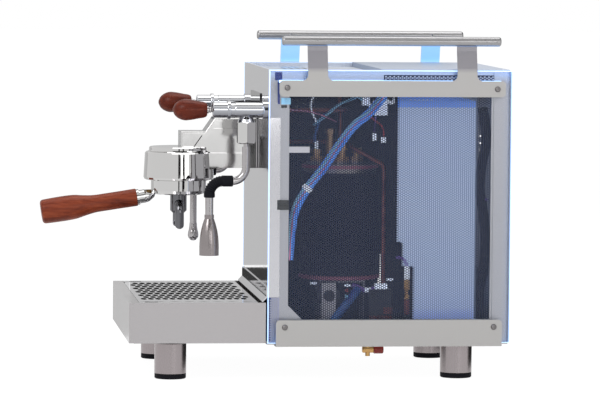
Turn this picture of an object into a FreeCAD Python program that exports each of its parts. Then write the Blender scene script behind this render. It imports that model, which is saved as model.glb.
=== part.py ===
"""Espresso machine: a steel body with clear side panels, a chrome group with its
portafilter, two joystick taps with their wands, and a drip tray on four round feet.

Millimetres, +Z up. The front faces -Y and the machine is symmetric about X = 0, apart
from what each tap feeds. All sizes below are measured from the body's own datum: Y = 0 is
the front end of the clear side panels, Z = 0 is the surface that the feet stand on.
save() moves the finished pieces so that the origin is the middle of the whole footprint.
"""
import FreeCAD, Part
import math
import os

V = FreeCAD.Vector

# ------------------------------------------------------------------ general
SHEET = 1.5                 # folded stainless sheet
PLAY = 0.3                  # between pieces that lift or slide past each other
SNUG = 0.1                  # between a spigot and the hole it fills
FIT = 0.05                  # running clearance of pins and balls
SIDES = (1, -1)             # right, left

# ------------------------------------------------------------------ body
BODY_W = 325.0              # over the clear side panels
BODY_L = 305.0
BODY_TOP = 388.0
GLASS_BOTTOM = 47.0
GLASS_T = 6.0
GLASS_BEVEL = 1.2
SCREEN_GAP = 3.3            # clear panel to perforated screen
FRAME_T = 2.0

BASE_BOTTOM = 45.0
BASE_T = 2.4
BASE_FRONT = -165.0         # tongue under the drip tray

WINDOW_Y = (26.4, BODY_L - 24.3)    # opening of the side frames
WINDOW_Z = (76.0, 354.8)
WINDOW_CORNER = 17.6
FLANGE_Z = (104.0, 328.0)   # side flanges of the front panel
FRONT_FLANGE = 15.2
BACK_FLANGE = 21.5

CUP_RECESS = 5.0            # cup area below the rim
LID_FRONT = BODY_L - 163.0
LID_RISE = 1.0
FILL_MARGIN = (8.0, 10.0)   # from the tank's walls to the edge of the filling opening

# ------------------------------------------------------------------ side trim and cup rails
TRIM_T = 2.0
TRIM_Y = (10.2, BODY_L - 10.2)
TRIM_TOP = 76.2
BRACKET_Y = (12.5, BODY_L - 8.5)
BRACKET_Z = (355.0, 375.0)
BRACKET_CORNER = 5.0
TAB_W = 25.0
TAB_Y = (60.5, BODY_L - 57.0)       # tab centres
TAB_FILLET = 7.0
TAB_BEND_Z = 390.0
TAB_LEAN = 6.5
TAB_LEAN_RISE = 22.0
RAIL_R = 6.0
RAIL_Y = (16.0, BODY_L - 14.0)
RAIL_Z = 424.0
RAIL_END_ROUND = 3.0
RAIL_HOLE_R = 2.2
RAIL_HOLE_DEPTH = 4.0
SCREW_TOP = ((22.4, 366.0), (BODY_L - 18.8, 365.0))
SCREW_LOW = ((21.4, 67.3), (BODY_L - 20.6, 67.3))
SCREW_R = 2.0
SCREW_HEAD_R = 3.6
SCREW_HEAD_H = 2.2
SCREW_SOCKET_R = 1.3
BOSS_R = 5.5
LIGHT_H = 3.0
LIGHT_Y = (13.0, BODY_L - 13.0)

# ------------------------------------------------------------------ feet
FOOT_X = BODY_W / 2 - 41.5
FOOT_Y = (-118.0, BODY_L - 61.5)
FOOT_R = 20.0
PAD_H = 6.0
PAD_BOSS_R = 9.0
PAD_BOSS_H = 8.0
FOOT_STUD_R = 4.0

# ------------------------------------------------------------------ drip tray
TRAY_W = BODY_W - 2.0
TRAY_FRONT = -172.6
TRAY_BACK = -2.2
TRAY_TOP = 98.1
TRAY_WALL = 1.2
TRAY_RIM = 12.7             # front rim
GRID_T = 1.5
GRID_BACK = -11.6
GRID_LEDGE = 5.0
GRID_BORDER = 12.0
WEAVE_CELL = 21.0           # one basket-weave square of two slots
SLOT_L = 17.0
SLOT_W = 5.4
SLOT_OFFSET = 5.0
FINGER_SLOT_X = TRAY_W / 2 - 12.0    # slots near the front corners that the grid is lifted by
FINGER_SLOT_W = 6.4
FINGER_SLOT_Y = (-152.0, -136.0)
SPLASH_T = 1.5
SPLASH_H = 12.0
SPLASH_W = BODY_W - 7.0
LIP = 5.6                   # 45 degree drip lip
LIP_BOTTOM = 99.6

# ------------------------------------------------------------------ group
GROUP_Y = -99.3
BELL_BOTTOM = 242.0
BELL_R = 45.0               # at the bottom
BELL_SHOULDER_R = 43.3
BELL_SHOULDER_Z = 278.0
BELL_DISH_R = 38.0
BELL_TOP = 284.4
BELL_ROUND = 3.5
RING_R = 41.4               # lock ring
RING_CEILING = 262.0
LEDGE_TOP = 248.8
LUG_H = 5.0
LUG_R = 40.2
LUG_ANGLE = 30.0
UNLOCK_ANGLE = 45.0
CHANNEL_TOP = 255.8
GASKET_R = (28.8, 36.4)
SHOWER_R = 28.4
SHOWER_BOTTOM = 253.6
SHOWER_HOLES = 12
NECK_W = 46.0
NECK_BOTTOM = 258.0
NECK_STEP_Z = 277.0         # top of the lower beam
NECK_TOP = 304.5
NECK_CREST = 322.0
NECK_CREST_Y = -55.5
NECK_STRUT_FOOT_Y = -67.5
NECK_NOSE_Y = -98.5
NECK_FRAME = 5.0            # ribs left around the sunk panels
STRUT_W = 8.0
NECK_SINK = 6.0
NECK_ROUND = 2.0
SPIGOT_R = 11.0
SPIGOT_L = 18.0

# ------------------------------------------------------------------ portafilter
PF_R = 35.4
PF_RIM_R = 34.8
PF_BOTTOM = 223.6
PF_ROUND = 5.0
PF_FLOOR = 229.0
PF_CAVITY_R = 31.0
BASKET_R = 29.9
BASKET_T = 0.7
BASKET_FLANGE_R = 33.6
BASKET_BOTTOM = 233.0
SPRING_WIRE_R = 0.4
HANDLE_DROOP = 8.9          # degrees below level
HANDLE_START = 53.4         # from the group axis to the wood's near end
HANDLE_Z = 219.2
HANDLE_L = 123.6
HANDLE_THIN_R = 11.2
HANDLE_FAT_R = 15.9
HANDLE_END_ROUND = 4.5
HANDLE_RIM_ROUND = 1.3
FERRULE_L = 12.0
FERRULE_R = 8.6
ARM_R = 8.2
SPOUT_HUB_R = 10.6
SPOUT_HUB_BOTTOM = 199.5
SPOUT_STUB_R = 7.5
SPOUT_X = 17.5
SPOUT_R = 5.8
SPOUT_WALL = 1.3
SPOUT_BOTTOM = 180.0
SPOUT_BEND = 11.0

# ------------------------------------------------------------------ taps
TAP_X = BODY_W / 2 - 42.5
TAP_Z = 336.4
BARREL_R = 9.3
BARREL_END = -47.4
BARREL_FLANGE_R = 11.4
BARREL_STUB_R = 7.0
BARREL_STUB_L = 14.0
CAP_R = 9.7
CAP_FRONT = -66.6
CAP_MOUTH_R = 6.9
PIVOT_Y = -57.0
LEVER_BALL_R = 6.0
GIMBAL_R = 7.5
GIMBAL_W = 3.2
STEM_R = 2.6
KNOB_BACK = -73.8
KNOB_L = 42.7
KNOB_R = 13.3
KNOB_BORE = 12.0

# ------------------------------------------------------------------ wands
WAND_Y = -24.4
NUT_AF = 22.4
NUT_BOTTOM = 294.0
NUT_TOP = 321.4
DOME_TOP = 330.0
BOSS_BOTTOM = 314.0
WAND_BOSS_R = 8.0
BALL_Z = 303.0
WAND_BALL_R = 7.5
SEAT_R = 9.0
SEAT_W = 3.6
NUT_MOUTH_R = 7.2
WAND_NECK_R = 3.3
WAND_PIPE_TOP = 290.5
WAND_R = {1: 5.0, -1: 4.5}
WAND_LEVEL_Z = 247.2
WAND_BEND = 17.0
WAND_DROP_Y = -70.1
GRIP_R = 7.1
GRIP_START = -40.6
GRIP_END_Z = 226.5
PIPE_END = {1: 205.0, -1: 178.0}
NOZZLE_R = 12.2
NOZZLE_COLLAR_Z = 200.0
NOZZLE_CONE_Z = 178.0       # below this the outlet is straight
NOZZLE_BOTTOM = 154.0
NOZZLE_WALL = 1.4
TIP_R = 7.0
STEAM_HOLE_R = 0.8
TIP_BOTTOM = 154.5

# ------------------------------------------------------------------ display, back and underside
DISPLAY_W = 120.0
DISPLAY_Z = (NECK_CREST + 3.0, NECK_CREST + 33.0)
INLET_X = 67.5 - BODY_W / 2
INLET_Z = 92.0
INLET_W = 30.0
INLET_H = 60.0
INLET_DEPTH = 24.0
INLET_FLANGE = 2.0
SOCKET_W = 24.0
SOCKET_H = 16.5
SOCKET_DROP = 14.0
SOCKET_DEPTH = 15.0
SOCKET_BLADE_SET = 1.0      # blade ends behind the panel's face
SOCKET_BLADES = ((-7.0, -2.0), (0.0, 2.0), (7.0, -2.0))
ROCKER_W = 12.0
ROCKER_H = 20.0
ROCKER_RISE = 14.0
ROCKER_ANGLE = 7.0
ROCKER_WELL = 12.0
ROCKER_GAP = 0.7
ROCKER_PIN_R = 1.2
VENT_L = 60.0
VENT_W = 3.0
VENT_ROWS = 8
VENT_PITCH = 9.0
VENT_X = 65.0               # middle of each field of slots
BASE_VENT_Y = 110.0
TOP_VENT_Y = 40.0
BACK_VENT_Z = 230.0
DRAIN_X = 60.0
DRAIN_Y = (132.0, 146.0)
DRAIN_Z = 29.0
DRAIN_R = 4.6
DRAIN_STUB_R = 4.0
DRAIN_KNOB_R = 5.6
DRAIN_KNOB_L = 13.0
DRAIN_SPINDLE_R = 1.5

# ------------------------------------------------------------------ inside
BOILER_R = {1: 46.0, -1: 40.0}
BOILER_X = {1: 62.0, -1: -70.0}
BOILER_Z = {1: (120.0, 268.0), -1: (120.0, 248.0)}
BOILER_TO_TANK = 12.5
JACKET_T = 5.0
JACKET_Z = (127.0, 256.0)
STAND_T = 3.0
TANK_X = BODY_W / 2 - 22.5
TANK_Y = (BODY_L - 140.5, BODY_L - 42.0)
TANK_Z = (71.0, 341.0)
TANK_STEPS = ((172.5, 7.0), (141.8, 21.5))   # height and set-back of the front wall
TANK_WALL = 2.5
TANK_CAP_H = 8.0
CAP_MARGIN_X = 25.0         # cap frame round the filling hole
CAP_MARGIN_Y = 18.0
PUMP_TO_BOILER = 21.0       # in front of the right boiler's axis
PUMP_Z = 104.0
PUMP_R = 14.0
PUMP_X = (BODY_W / 2 - 69.5, BODY_W / 2 - 30.5)
PUMP_PLATE = (18.0, 3.0)
BOX_X = (BODY_W / 2 - 70.5, BODY_W / 2 - 22.5)
BOX_Y = (TANK_Y[0] - 35.0, TANK_Y[0] - 5.0)
BOX_Z_TOP = 112.0
STRAP_Y = 52.4              # strap from the front edge of the right side frame
STRAP_Z = (284.5, 292.0)
FITTING_AF = 15.0           # hexagons of the boiler's fittings
# each fitting's place on the boiler's lid, as shares of its radius, and its height
BOILER_FITTINGS = ((0.40, -0.70, 18.0), (0.50, -0.34, 44.0), (0.66, -0.02, 24.0),
                   (0.55, 0.40, 20.0))
PIPE_R = 3.0
PIPE_BEND = 9.0
PIPE_TO_WALL = 24.0         # the drain pipe's place inside the box's outer face
LOOM_R = 5.5
# the loom's way down the side, as (in from the frame, y, z)
LOOM_WAY = ((0.0, 146.0, 356.0), (4.0, 128.5, 333.0), (8.0, 109.0, 318.0), (8.0, 87.0, 288.0),
            (8.0, 72.0, 265.0), (6.0, 51.0, 240.0), (3.0, 34.7, 212.6), (1.0, 30.0, 180.0),
            (0.0, 28.0, 150.0))

# ------------------------------------------------------------------ derived places
HALF_W = BODY_W / 2
GLASS_IN = HALF_W - GLASS_T
SCREEN_OUT = GLASS_IN - SCREEN_GAP
FRAME_OUT = SCREEN_OUT - SHEET
FRAME_IN = FRAME_OUT - FRAME_T
BASE_TOP = BASE_BOTTOM + BASE_T
INNER_HALF_W = GLASS_IN - PLAY
COVER_TOP = BODY_TOP - CUP_RECESS
COVER_BOTTOM = COVER_TOP - SHEET
FRAME_TOP = BODY_TOP - 1.0
COVER_HALF_W = FRAME_IN - PLAY
BACK_IN = BODY_L - SHEET
FRONT = 0.0                 # front face of the front panel
FRONT_IN = FRONT + SHEET
RAIL_X = HALF_W + TRIM_T / 2 - TAB_LEAN
TRAY_BOTTOM = BASE_TOP + PLAY
TRAY_HALF_W = TRAY_W / 2
BASE_TONGUE_HALF_W = FOOT_X + FOOT_R - 3.0
FILL_OPENING_X = TANK_X - FILL_MARGIN[0]
FILL_OPENING_Y = (TANK_Y[0] - FILL_MARGIN[1], TANK_Y[1] + FILL_MARGIN[1])
BOILER_Y = {s: TANK_Y[0] - BOILER_TO_TANK - JACKET_T - BOILER_R[s] for s in SIDES}
PUMP_Y = BOILER_Y[1] - PUMP_TO_BOILER
GRID_HALF_W = TRAY_HALF_W - TRAY_WALL - PLAY
GRID_FRONT = TRAY_FRONT + TRAY_RIM + PLAY
GRID_BOTTOM = TRAY_TOP - GRID_T
LUG_BOTTOM = LEDGE_TOP + PLAY / 2
LUG_TOP = LUG_BOTTOM + LUG_H
PF_TOP = CHANNEL_TOP - PLAY
GASKET_BOTTOM = PF_TOP + BASKET_T + SNUG
ROCKER_PIVOT_Y = BODY_L + INLET_FLANGE - 5.0
HANDLE_REACH = HANDLE_START + HANDLE_L * math.cos(math.radians(HANDLE_DROOP))
HANDLE_AXIS = V(0, -math.cos(math.radians(HANDLE_DROOP)), -math.sin(math.radians(HANDLE_DROOP)))
HANDLE_ROOT = V(0, GROUP_Y - HANDLE_START, HANDLE_Z)


# ================================================================== helpers
def block(x0, x1, y0, y1, z0, z1):
    return Part.makeBox(x1 - x0, y1 - y0, z1 - z0, V(x0, y0, z0))


def side_block(side, x0, x1, y0, y1, z0, z1):
    """A box given for the right side, mirrored for the left one."""
    lo, hi = sorted((side * x0, side * x1))
    return block(lo, hi, y0, y1, z0, z1)


def rod(base, axis, radius, length):
    return Part.makeCylinder(radius, length, base, axis)


def mirror(shape):
    return shape.mirror(V(0, 0, 0), V(1, 0, 0))


def union(shapes):
    first, rest = shapes[0], shapes[1:]
    return first.multiFuse(rest).removeSplitter() if rest else first


def cut(shape, tools):
    for tool in tools:
        shape = shape.cut(tool)
    return shape


def face_of(points, place):
    """A flat face through 2D points, put into space by place(a, b)."""
    ring = [place(a, b) for a, b in points]
    return Part.Face(Part.makePolygon(ring + ring[:1]))


def prism_x(points, x0, x1):
    """An outline in (y, z) extruded from x0 to x1."""
    return face_of(points, lambda y, z: V(x0, y, z)).extrude(V(x1 - x0, 0, 0))


def turned(points, base, axis):
    """A solid turned from (distance along axis, radius) points."""
    across = V(1, 0, 0) if abs(axis.x) < 0.9 else V(0, 0, 1)
    face = face_of(points, lambda a, r: base + axis * a + across * r)
    return face.revolve(base, axis, 360)


def turned_z(points, x, y):
    """A solid turned about a vertical line from (radius, z) points."""
    return turned([(z, r) for r, z in points], V(x, y, 0), V(0, 0, 1))


def arc_or_line(a, tangent, b):
    """The edge that leaves a along tangent and ends at b."""
    chord = b - a
    side = chord - tangent * chord.dot(tangent)
    if side.Length < 1e-4 * chord.Length:
        return Part.makeLine(a, b)
    towards = side.normalize()
    radius = chord.dot(chord) / (2 * towards.dot(chord))
    centre = a + towards * radius
    top = centre + ((a + b) * 0.5 - centre).normalize() * radius
    return Part.Arc(a, top, b).toShape()


def arc_pair(a, leave, b, arrive):
    """Two edges that meet smoothly between a and b, with the given directions at the ends."""
    chord = b - a
    turn = leave + arrive
    slack = 2 * (1 - leave.dot(arrive))
    if slack < 1e-9:
        reach = chord.dot(chord) / (4 * chord.dot(arrive))
    else:
        root = chord.dot(turn) ** 2 + slack * chord.dot(chord)
        reach = (math.sqrt(root) - chord.dot(turn)) / slack
    meet = (a + b + (leave - arrive) * reach) * 0.5
    return [arc_or_line(a, leave, meet), arc_or_line(b, arrive * -1, meet)]


def smooth_line(points):
    """Tangent arcs through the points, in order."""
    steps = [(b - a).normalize() for a, b in zip(points, points[1:])]
    ways = [steps[0]] + [(u + w).normalize() for u, w in zip(steps, steps[1:])] + [steps[-1]]
    edges = []
    for a, leave, b, arrive in zip(points, ways, points[1:], ways[1:]):
        edges += arc_pair(a, leave, b, arrive)
    return edges


def smooth_turned(start, curve, end, base, axis):
    """As turned, with a smooth curve through the middle points."""
    across = V(1, 0, 0)

    def place(point):
        return base + axis * point[0] + across * point[1]

    points = [place(p) for p in curve]
    corners = [place(p) for p in end + start]
    edges = smooth_line(points)
    ring = [points[-1]] + corners + [points[0]]
    for a, b in zip(ring, ring[1:]):
        edges.append(Part.makeLine(a, b))
    return Part.Face(Part.Wire(Part.__sortEdges__(edges))).revolve(base, axis, 360)


def round_rim(shape, centre, radius):
    """Round the circular edge whose middle is at centre."""
    rims = [e for e in shape.Edges if isinstance(e.Curve, Part.Circle)
            and (e.Curve.Center - centre).Length < 0.01]
    return shape.makeFillet(radius, rims)


def bent_path(points, bend=None):
    """A wire through the points with each corner rounded to radius bend, or as widely as fits."""
    edges = []
    start = points[0]
    for before, corner, after in zip(points, points[1:], points[2:]):
        u = (before - corner).normalize()
        w = (after - corner).normalize()
        half = u.getAngle(w) / 2
        runs = ((before - corner).Length, (after - corner).Length)
        radius = bend or 0.45 * min(runs) * math.tan(half)
        reach = radius / math.tan(half)
        a = corner + u * reach
        b = corner + w * reach
        middle = (u + w).normalize()
        top = corner + middle * (radius / math.sin(half) - radius)
        edges.append(Part.makeLine(start, a))
        edges.append(Part.Arc(a, top, b).toShape())
        start = b
    edges.append(Part.makeLine(start, points[-1]))
    return Part.Wire(edges)


def swept(path, radius):
    """A round bar along a path."""
    first = path.OrderedEdges[0]
    start = first.valueAt(first.FirstParameter)
    tangent = first.tangentAt(first.FirstParameter)
    ring = Part.Wire(Part.makeCircle(radius, start, tangent))
    return path.makePipeShell([ring], True, False)


def hexagon(across_flats, x, y, z0, z1, turn=0.0):
    radius = across_flats / math.sqrt(3)
    points = []
    for k in range(6):
        angle = math.radians(60 * k + turn)
        points.append(V(x + radius * math.cos(angle), y + radius * math.sin(angle), z0))
    face = Part.Face(Part.makePolygon(points + points[:1]))
    return face.extrude(V(0, 0, z1 - z0))


def group_of(shapes):
    return Part.makeCompound(shapes)


# ================================================================== body
def base_plate():
    main = block(-INNER_HALF_W, INNER_HALF_W, 0, BACK_IN, BASE_BOTTOM, BASE_TOP)
    half = BASE_TONGUE_HALF_W
    tongue = block(-half, half, BASE_FRONT, 0, BASE_BOTTOM, BASE_TOP)
    holes = [rod(V(s * FOOT_X, y, BASE_BOTTOM - 1), V(0, 0, 1), FOOT_STUD_R + FIT, BASE_T + 2)
             for s in SIDES for y in FOOT_Y]
    middle = (DRAIN_Y[0] + DRAIN_Y[1]) / 2
    holes.append(rod(V(DRAIN_X, middle, BASE_BOTTOM - 1), V(0, 0, 1), DRAIN_STUB_R + SNUG,
                     BASE_T + 2))
    for row in range(VENT_ROWS):
        y = BASE_VENT_Y + row * VENT_PITCH
        holes.append(block(-VENT_L / 2, VENT_L / 2, y, y + VENT_W, BASE_BOTTOM - 1, BASE_TOP + 1))
    return cut(union([main, tongue]), holes)


def front_panel():
    sheet = block(-INNER_HALF_W, INNER_HALF_W, FRONT, FRONT_IN, BASE_TOP, BODY_TOP)
    flanges = [side_block(s, FRAME_OUT, SCREEN_OUT, FRONT_IN, FRONT_FLANGE, *FLANGE_Z)
               for s in SIDES]
    holes = [rod(V(s * TAP_X, FRONT - 1, TAP_Z), V(0, 1, 0), BARREL_STUB_R + SNUG, SHEET + 2)
             for s in SIDES]
    spigot_z = (NECK_STEP_Z + NECK_TOP) / 2
    holes.append(rod(V(0, FRONT - 1, spigot_z), V(0, 1, 0), SPIGOT_R + SNUG, SHEET + 2))
    return cut(union([sheet] + flanges), holes)


def back_panel():
    sheet = block(-INNER_HALF_W, INNER_HALF_W, BACK_IN, BODY_L, BASE_TOP, BODY_TOP)
    flanges = [side_block(s, FRAME_OUT, SCREEN_OUT, BODY_L - BACK_FLANGE, BACK_IN,
                          BASE_TOP, FRAME_TOP) for s in SIDES]
    tools = []
    for s in SIDES:
        for y, z in (SCREW_TOP[1], SCREW_LOW[1]):
            tools.append(rod(V(s * (FRAME_IN - 1), y, z), V(s, 0, 0), BOSS_R + SNUG, SCREEN_GAP + 9))
    w = INLET_W / 2 + SNUG
    h = INLET_H / 2 + SNUG
    tools.append(block(INLET_X - w, INLET_X + w, BACK_IN - 1, BODY_L + 1,
                       INLET_Z - h, INLET_Z + h))
    for row in range(VENT_ROWS):
        z = BACK_VENT_Z + row * VENT_PITCH
        for s in SIDES:
            tools.append(side_block(s, VENT_X - VENT_L / 2, VENT_X + VENT_L / 2, BACK_IN - 1,
                                    BODY_L + 1, z, z + VENT_W))
    return cut(union([sheet] + flanges), tools)


def top_cover():
    """Cup pan in front, and behind it the ledge with the filling opening under the lid."""
    half = COVER_HALF_W
    floor = block(-half, half, FRONT_IN, BACK_IN, COVER_BOTTOM, COVER_TOP)
    rims = [block(-half, half, FRONT_IN, FRONT_IN + SHEET, COVER_TOP, BODY_TOP)]
    for s in SIDES:
        rims.append(side_block(s, half - SHEET, half, FRONT_IN, LID_FRONT - PLAY,
                               COVER_TOP, BODY_TOP))
    holes = [block(-FILL_OPENING_X, FILL_OPENING_X, FILL_OPENING_Y[0], FILL_OPENING_Y[1],
                   COVER_BOTTOM - 1, COVER_TOP + 1)]
    for row in range(VENT_ROWS - 2):
        y = TOP_VENT_Y + row * VENT_PITCH
        for s in SIDES:
            holes.append(side_block(s, VENT_X - VENT_L / 2, VENT_X + VENT_L / 2, y, y + VENT_W,
                                    COVER_BOTTOM - 1, COVER_TOP + 1))
    return cut(union([floor] + rims), holes)


def tank_lid():
    half = COVER_HALF_W - PLAY
    back = BACK_IN - PLAY
    top = BODY_TOP + LID_RISE
    skin = block(-half, half, LID_FRONT, back, COVER_TOP + PLAY, top)
    hollow = block(-half + SHEET, half - SHEET, LID_FRONT + SHEET, back - SHEET,
                   COVER_TOP, top - SHEET)
    return skin.cut(hollow)


def side_frames():
    """A ring of folded sheet behind each screen, with bosses that carry the clear panel."""
    frames = []
    y0, y1 = WINDOW_Y
    z0, z1 = WINDOW_Z
    c = WINDOW_CORNER
    window = [(y0, z0 + c), (y0 + c, z0), (y1, z0), (y1, z1), (y0, z1)]
    for s in SIDES:
        ring = side_block(s, FRAME_IN, FRAME_OUT, FRONT_IN, BACK_IN, BASE_TOP, FRAME_TOP)
        ring = ring.cut(prism_x(window, s * (FRAME_IN - 1), s * (FRAME_OUT + 1)))
        bosses = [rod(V(s * FRAME_OUT, y, z), V(s, 0, 0), BOSS_R, GLASS_IN - FRAME_OUT)
                  for y, z in SCREW_TOP + SCREW_LOW]
        holes = [rod(V(s * (FRAME_IN - 1), y, z), V(s, 0, 0), SCREW_R + FIT, 20)
                 for y, z in SCREW_TOP + SCREW_LOW]
        frames.append(cut(union([ring] + bosses), holes))
    return group_of(frames)


def side_screens():
    """The perforated sheets, plain here: their fine holes are finish, not structure."""
    screens = []
    for s in SIDES:
        y0 = FRONT_IN + PLAY
        z0, z1 = FLANGE_Z
        outline = [(y0, BASE_TOP), (BODY_L - BACK_FLANGE - PLAY, BASE_TOP),
                   (BODY_L - BACK_FLANGE - PLAY, FRAME_TOP), (y0, FRAME_TOP), (y0, z1 + PLAY),
                   (FRONT_FLANGE + PLAY, z1 + PLAY), (FRONT_FLANGE + PLAY, z0 - PLAY),
                   (y0, z0 - PLAY)]
        sheet = prism_x(outline, s * FRAME_OUT, s * SCREEN_OUT)
        holes = [rod(V(s * (FRAME_OUT - 1), y, z), V(s, 0, 0), BOSS_R + SNUG, SHEET + 2)
                 for y, z in SCREW_TOP + SCREW_LOW]
        screens.append(cut(sheet, holes))
    return group_of(screens)


def side_glass(side):
    pane = side_block(side, GLASS_IN, HALF_W, 0, BODY_L, GLASS_BOTTOM, BODY_TOP)
    rim = [e for e in pane.Edges
           if abs(abs(e.CenterOfMass.x) - HALF_W) < 0.01]
    pane = pane.makeChamfer(GLASS_BEVEL, rim)
    holes = [rod(V(side * (GLASS_IN - 1), y, z), V(side, 0, 0), SCREW_R + PLAY, GLASS_T + 2)
             for y, z in SCREW_TOP + SCREW_LOW]
    return cut(pane, holes)


def tab_profile(t):
    """Side view of a rail tab in (x, z): up, leaning in, and up again under the rail."""
    out = HALF_W + t
    slope = math.hypot(TAB_LEAN, TAB_LEAN_RISE)
    lift = t * (slope - TAB_LEAN_RISE) / TAB_LEAN    # keeps the sheet's thickness in the bends
    z1 = TAB_BEND_Z
    z2 = TAB_BEND_Z + TAB_LEAN_RISE
    return [(HALF_W, BRACKET_Z[1] - TAB_FILLET), (out, BRACKET_Z[1] - TAB_FILLET), (out, z1),
            (out - TAB_LEAN, z2), (out - TAB_LEAN, RAIL_Z), (HALF_W - TAB_LEAN, RAIL_Z),
            (HALF_W - TAB_LEAN, z2 - lift), (HALF_W, z1 - lift)]


def rail_bracket(side):
    plate = block(HALF_W, HALF_W + TRIM_T, *BRACKET_Y, *BRACKET_Z)
    corners = [e for e in plate.Edges if e.Length < TRIM_T + 0.01 and e.CenterOfMass.z < BRACKET_Z[0] + 1]
    corners += [e for e in plate.Edges if e.Length < TRIM_T + 0.01 and e.CenterOfMass.z > BRACKET_Z[1] - 1]
    plate = plate.makeFillet(BRACKET_CORNER, corners)
    pieces = [plate]
    for y in TAB_Y:
        points = tab_profile(TRIM_T)
        face = face_of(points, lambda x, z: V(x, y - TAB_W / 2, z))
        pieces.append(face.extrude(V(0, TAB_W, 0)))
        for hand in SIDES:
            edge = y + hand * TAB_W / 2
            web = block(HALF_W, HALF_W + TRIM_T, min(edge, edge + hand * TAB_FILLET),
                        max(edge, edge + hand * TAB_FILLET), BRACKET_Z[1],
                        BRACKET_Z[1] + TAB_FILLET)
            scoop = rod(V(HALF_W - 1, edge + hand * TAB_FILLET, BRACKET_Z[1] + TAB_FILLET),
                        V(1, 0, 0), TAB_FILLET, TRIM_T + 2)
            pieces.append(web.cut(scoop))
    bracket = union(pieces)
    rail = rod(V(RAIL_X, BRACKET_Y[0] - 5, RAIL_Z), V(0, 1, 0), RAIL_R, BODY_L)
    holes = [rod(V(HALF_W - 1, y, z), V(1, 0, 0), SCREW_R + SNUG, TRIM_T + 2)
             for y, z in SCREW_TOP]
    bracket = cut(bracket, holes + [rail])
    above = block(0, BODY_W, -10, BODY_L + 10, RAIL_Z - RAIL_R / 2, RAIL_Z + 20)
    bracket = bracket.cut(above)
    return bracket if side > 0 else mirror(bracket)


def cup_rail(side):
    rail = rod(V(RAIL_X, RAIL_Y[0], RAIL_Z), V(0, 1, 0), RAIL_R, RAIL_Y[1] - RAIL_Y[0])
    rims = [e for e in rail.Edges if isinstance(e.Curve, Part.Circle)]
    rail = rail.makeFillet(RAIL_END_ROUND, rims)
    holes = [rod(V(RAIL_X - RAIL_R - 1, y, RAIL_Z), V(1, 0, 0), RAIL_HOLE_R,
                 RAIL_HOLE_DEPTH + 1) for y in TAB_Y]
    rail = cut(rail, holes)
    return rail if side > 0 else mirror(rail)


def lower_trim(side):
    bottom = BASE_BOTTOM - TRIM_T
    plate = block(HALF_W, HALF_W + TRIM_T, *TRIM_Y, bottom, TRIM_TOP)
    ends = [e for e in plate.Edges
            if e.Length < TRIM_T + 0.01 and e.CenterOfMass.z > TRIM_TOP - 1]
    plate = plate.makeFillet(BRACKET_CORNER, ends)
    fold = block(FOOT_X + FOOT_R + PLAY, HALF_W, *TRIM_Y, bottom, BASE_BOTTOM)
    holes = [rod(V(HALF_W - 1, y, z), V(1, 0, 0), SCREW_R + SNUG, TRIM_T + 2)
             for y, z in SCREW_LOW]
    trim = cut(union([plate, fold]), holes)
    return trim if side > 0 else mirror(trim)


def panel_screws():
    screws = []
    for s in SIDES:
        seat = s * (HALF_W + TRIM_T)
        for y, z in SCREW_TOP + SCREW_LOW:
            h, r = SCREW_HEAD_H, SCREW_HEAD_R
            screws.append(turned([(FRAME_IN - HALF_W - TRIM_T, 0), (FRAME_IN - HALF_W - TRIM_T, SCREW_R),
                                  (0, SCREW_R), (0, r), (0.35 * h, r), (0.8 * h, 0.8 * r),
                                  (h, 0.55 * r), (h, SCREW_SOCKET_R), (h - 1.2, SCREW_SOCKET_R),
                                  (h - 1.2, 0)], V(seat, y, z), V(s, 0, 0)))
    return group_of(screws)


def light_strips():
    """A thin light bar along the top and the bottom of each clear panel."""
    strips = []
    for s in SIDES:
        for z in (BRACKET_Z[1] - LIGHT_H, BASE_TOP + PLAY):
            strips.append(side_block(s, SCREEN_OUT, GLASS_IN - PLAY, *LIGHT_Y, z, z + LIGHT_H))
    return group_of(strips)


# ================================================================== feet
def foot_sleeves():
    feet = []
    for s in SIDES:
        for y in FOOT_Y:
            x = s * FOOT_X
            sleeve = turned_z([(0, PAD_H + PAD_BOSS_H), (PAD_BOSS_R + SNUG, PAD_H + PAD_BOSS_H),
                               (PAD_BOSS_R + SNUG, PAD_H), (FOOT_R - 0.8, PAD_H),
                               (FOOT_R, PAD_H + 0.8), (FOOT_R, BASE_BOTTOM - 0.8),
                               (FOOT_R - 0.8, BASE_BOTTOM), (FOOT_STUD_R, BASE_BOTTOM),
                               (FOOT_STUD_R, BASE_TOP - SNUG), (0, BASE_TOP - SNUG)], x, y)
            feet.append(sleeve)
    return group_of(feet)


def foot_pads():
    return group_of([turned_z([(0, 0), (FOOT_R - 1.2, 0), (FOOT_R - 0.2, 1.0),
                               (FOOT_R - 0.2, PAD_H), (PAD_BOSS_R, PAD_H),
                               (PAD_BOSS_R, PAD_H + PAD_BOSS_H), (0, PAD_H + PAD_BOSS_H)],
                              s * FOOT_X, y) for s in SIDES for y in FOOT_Y])


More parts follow.
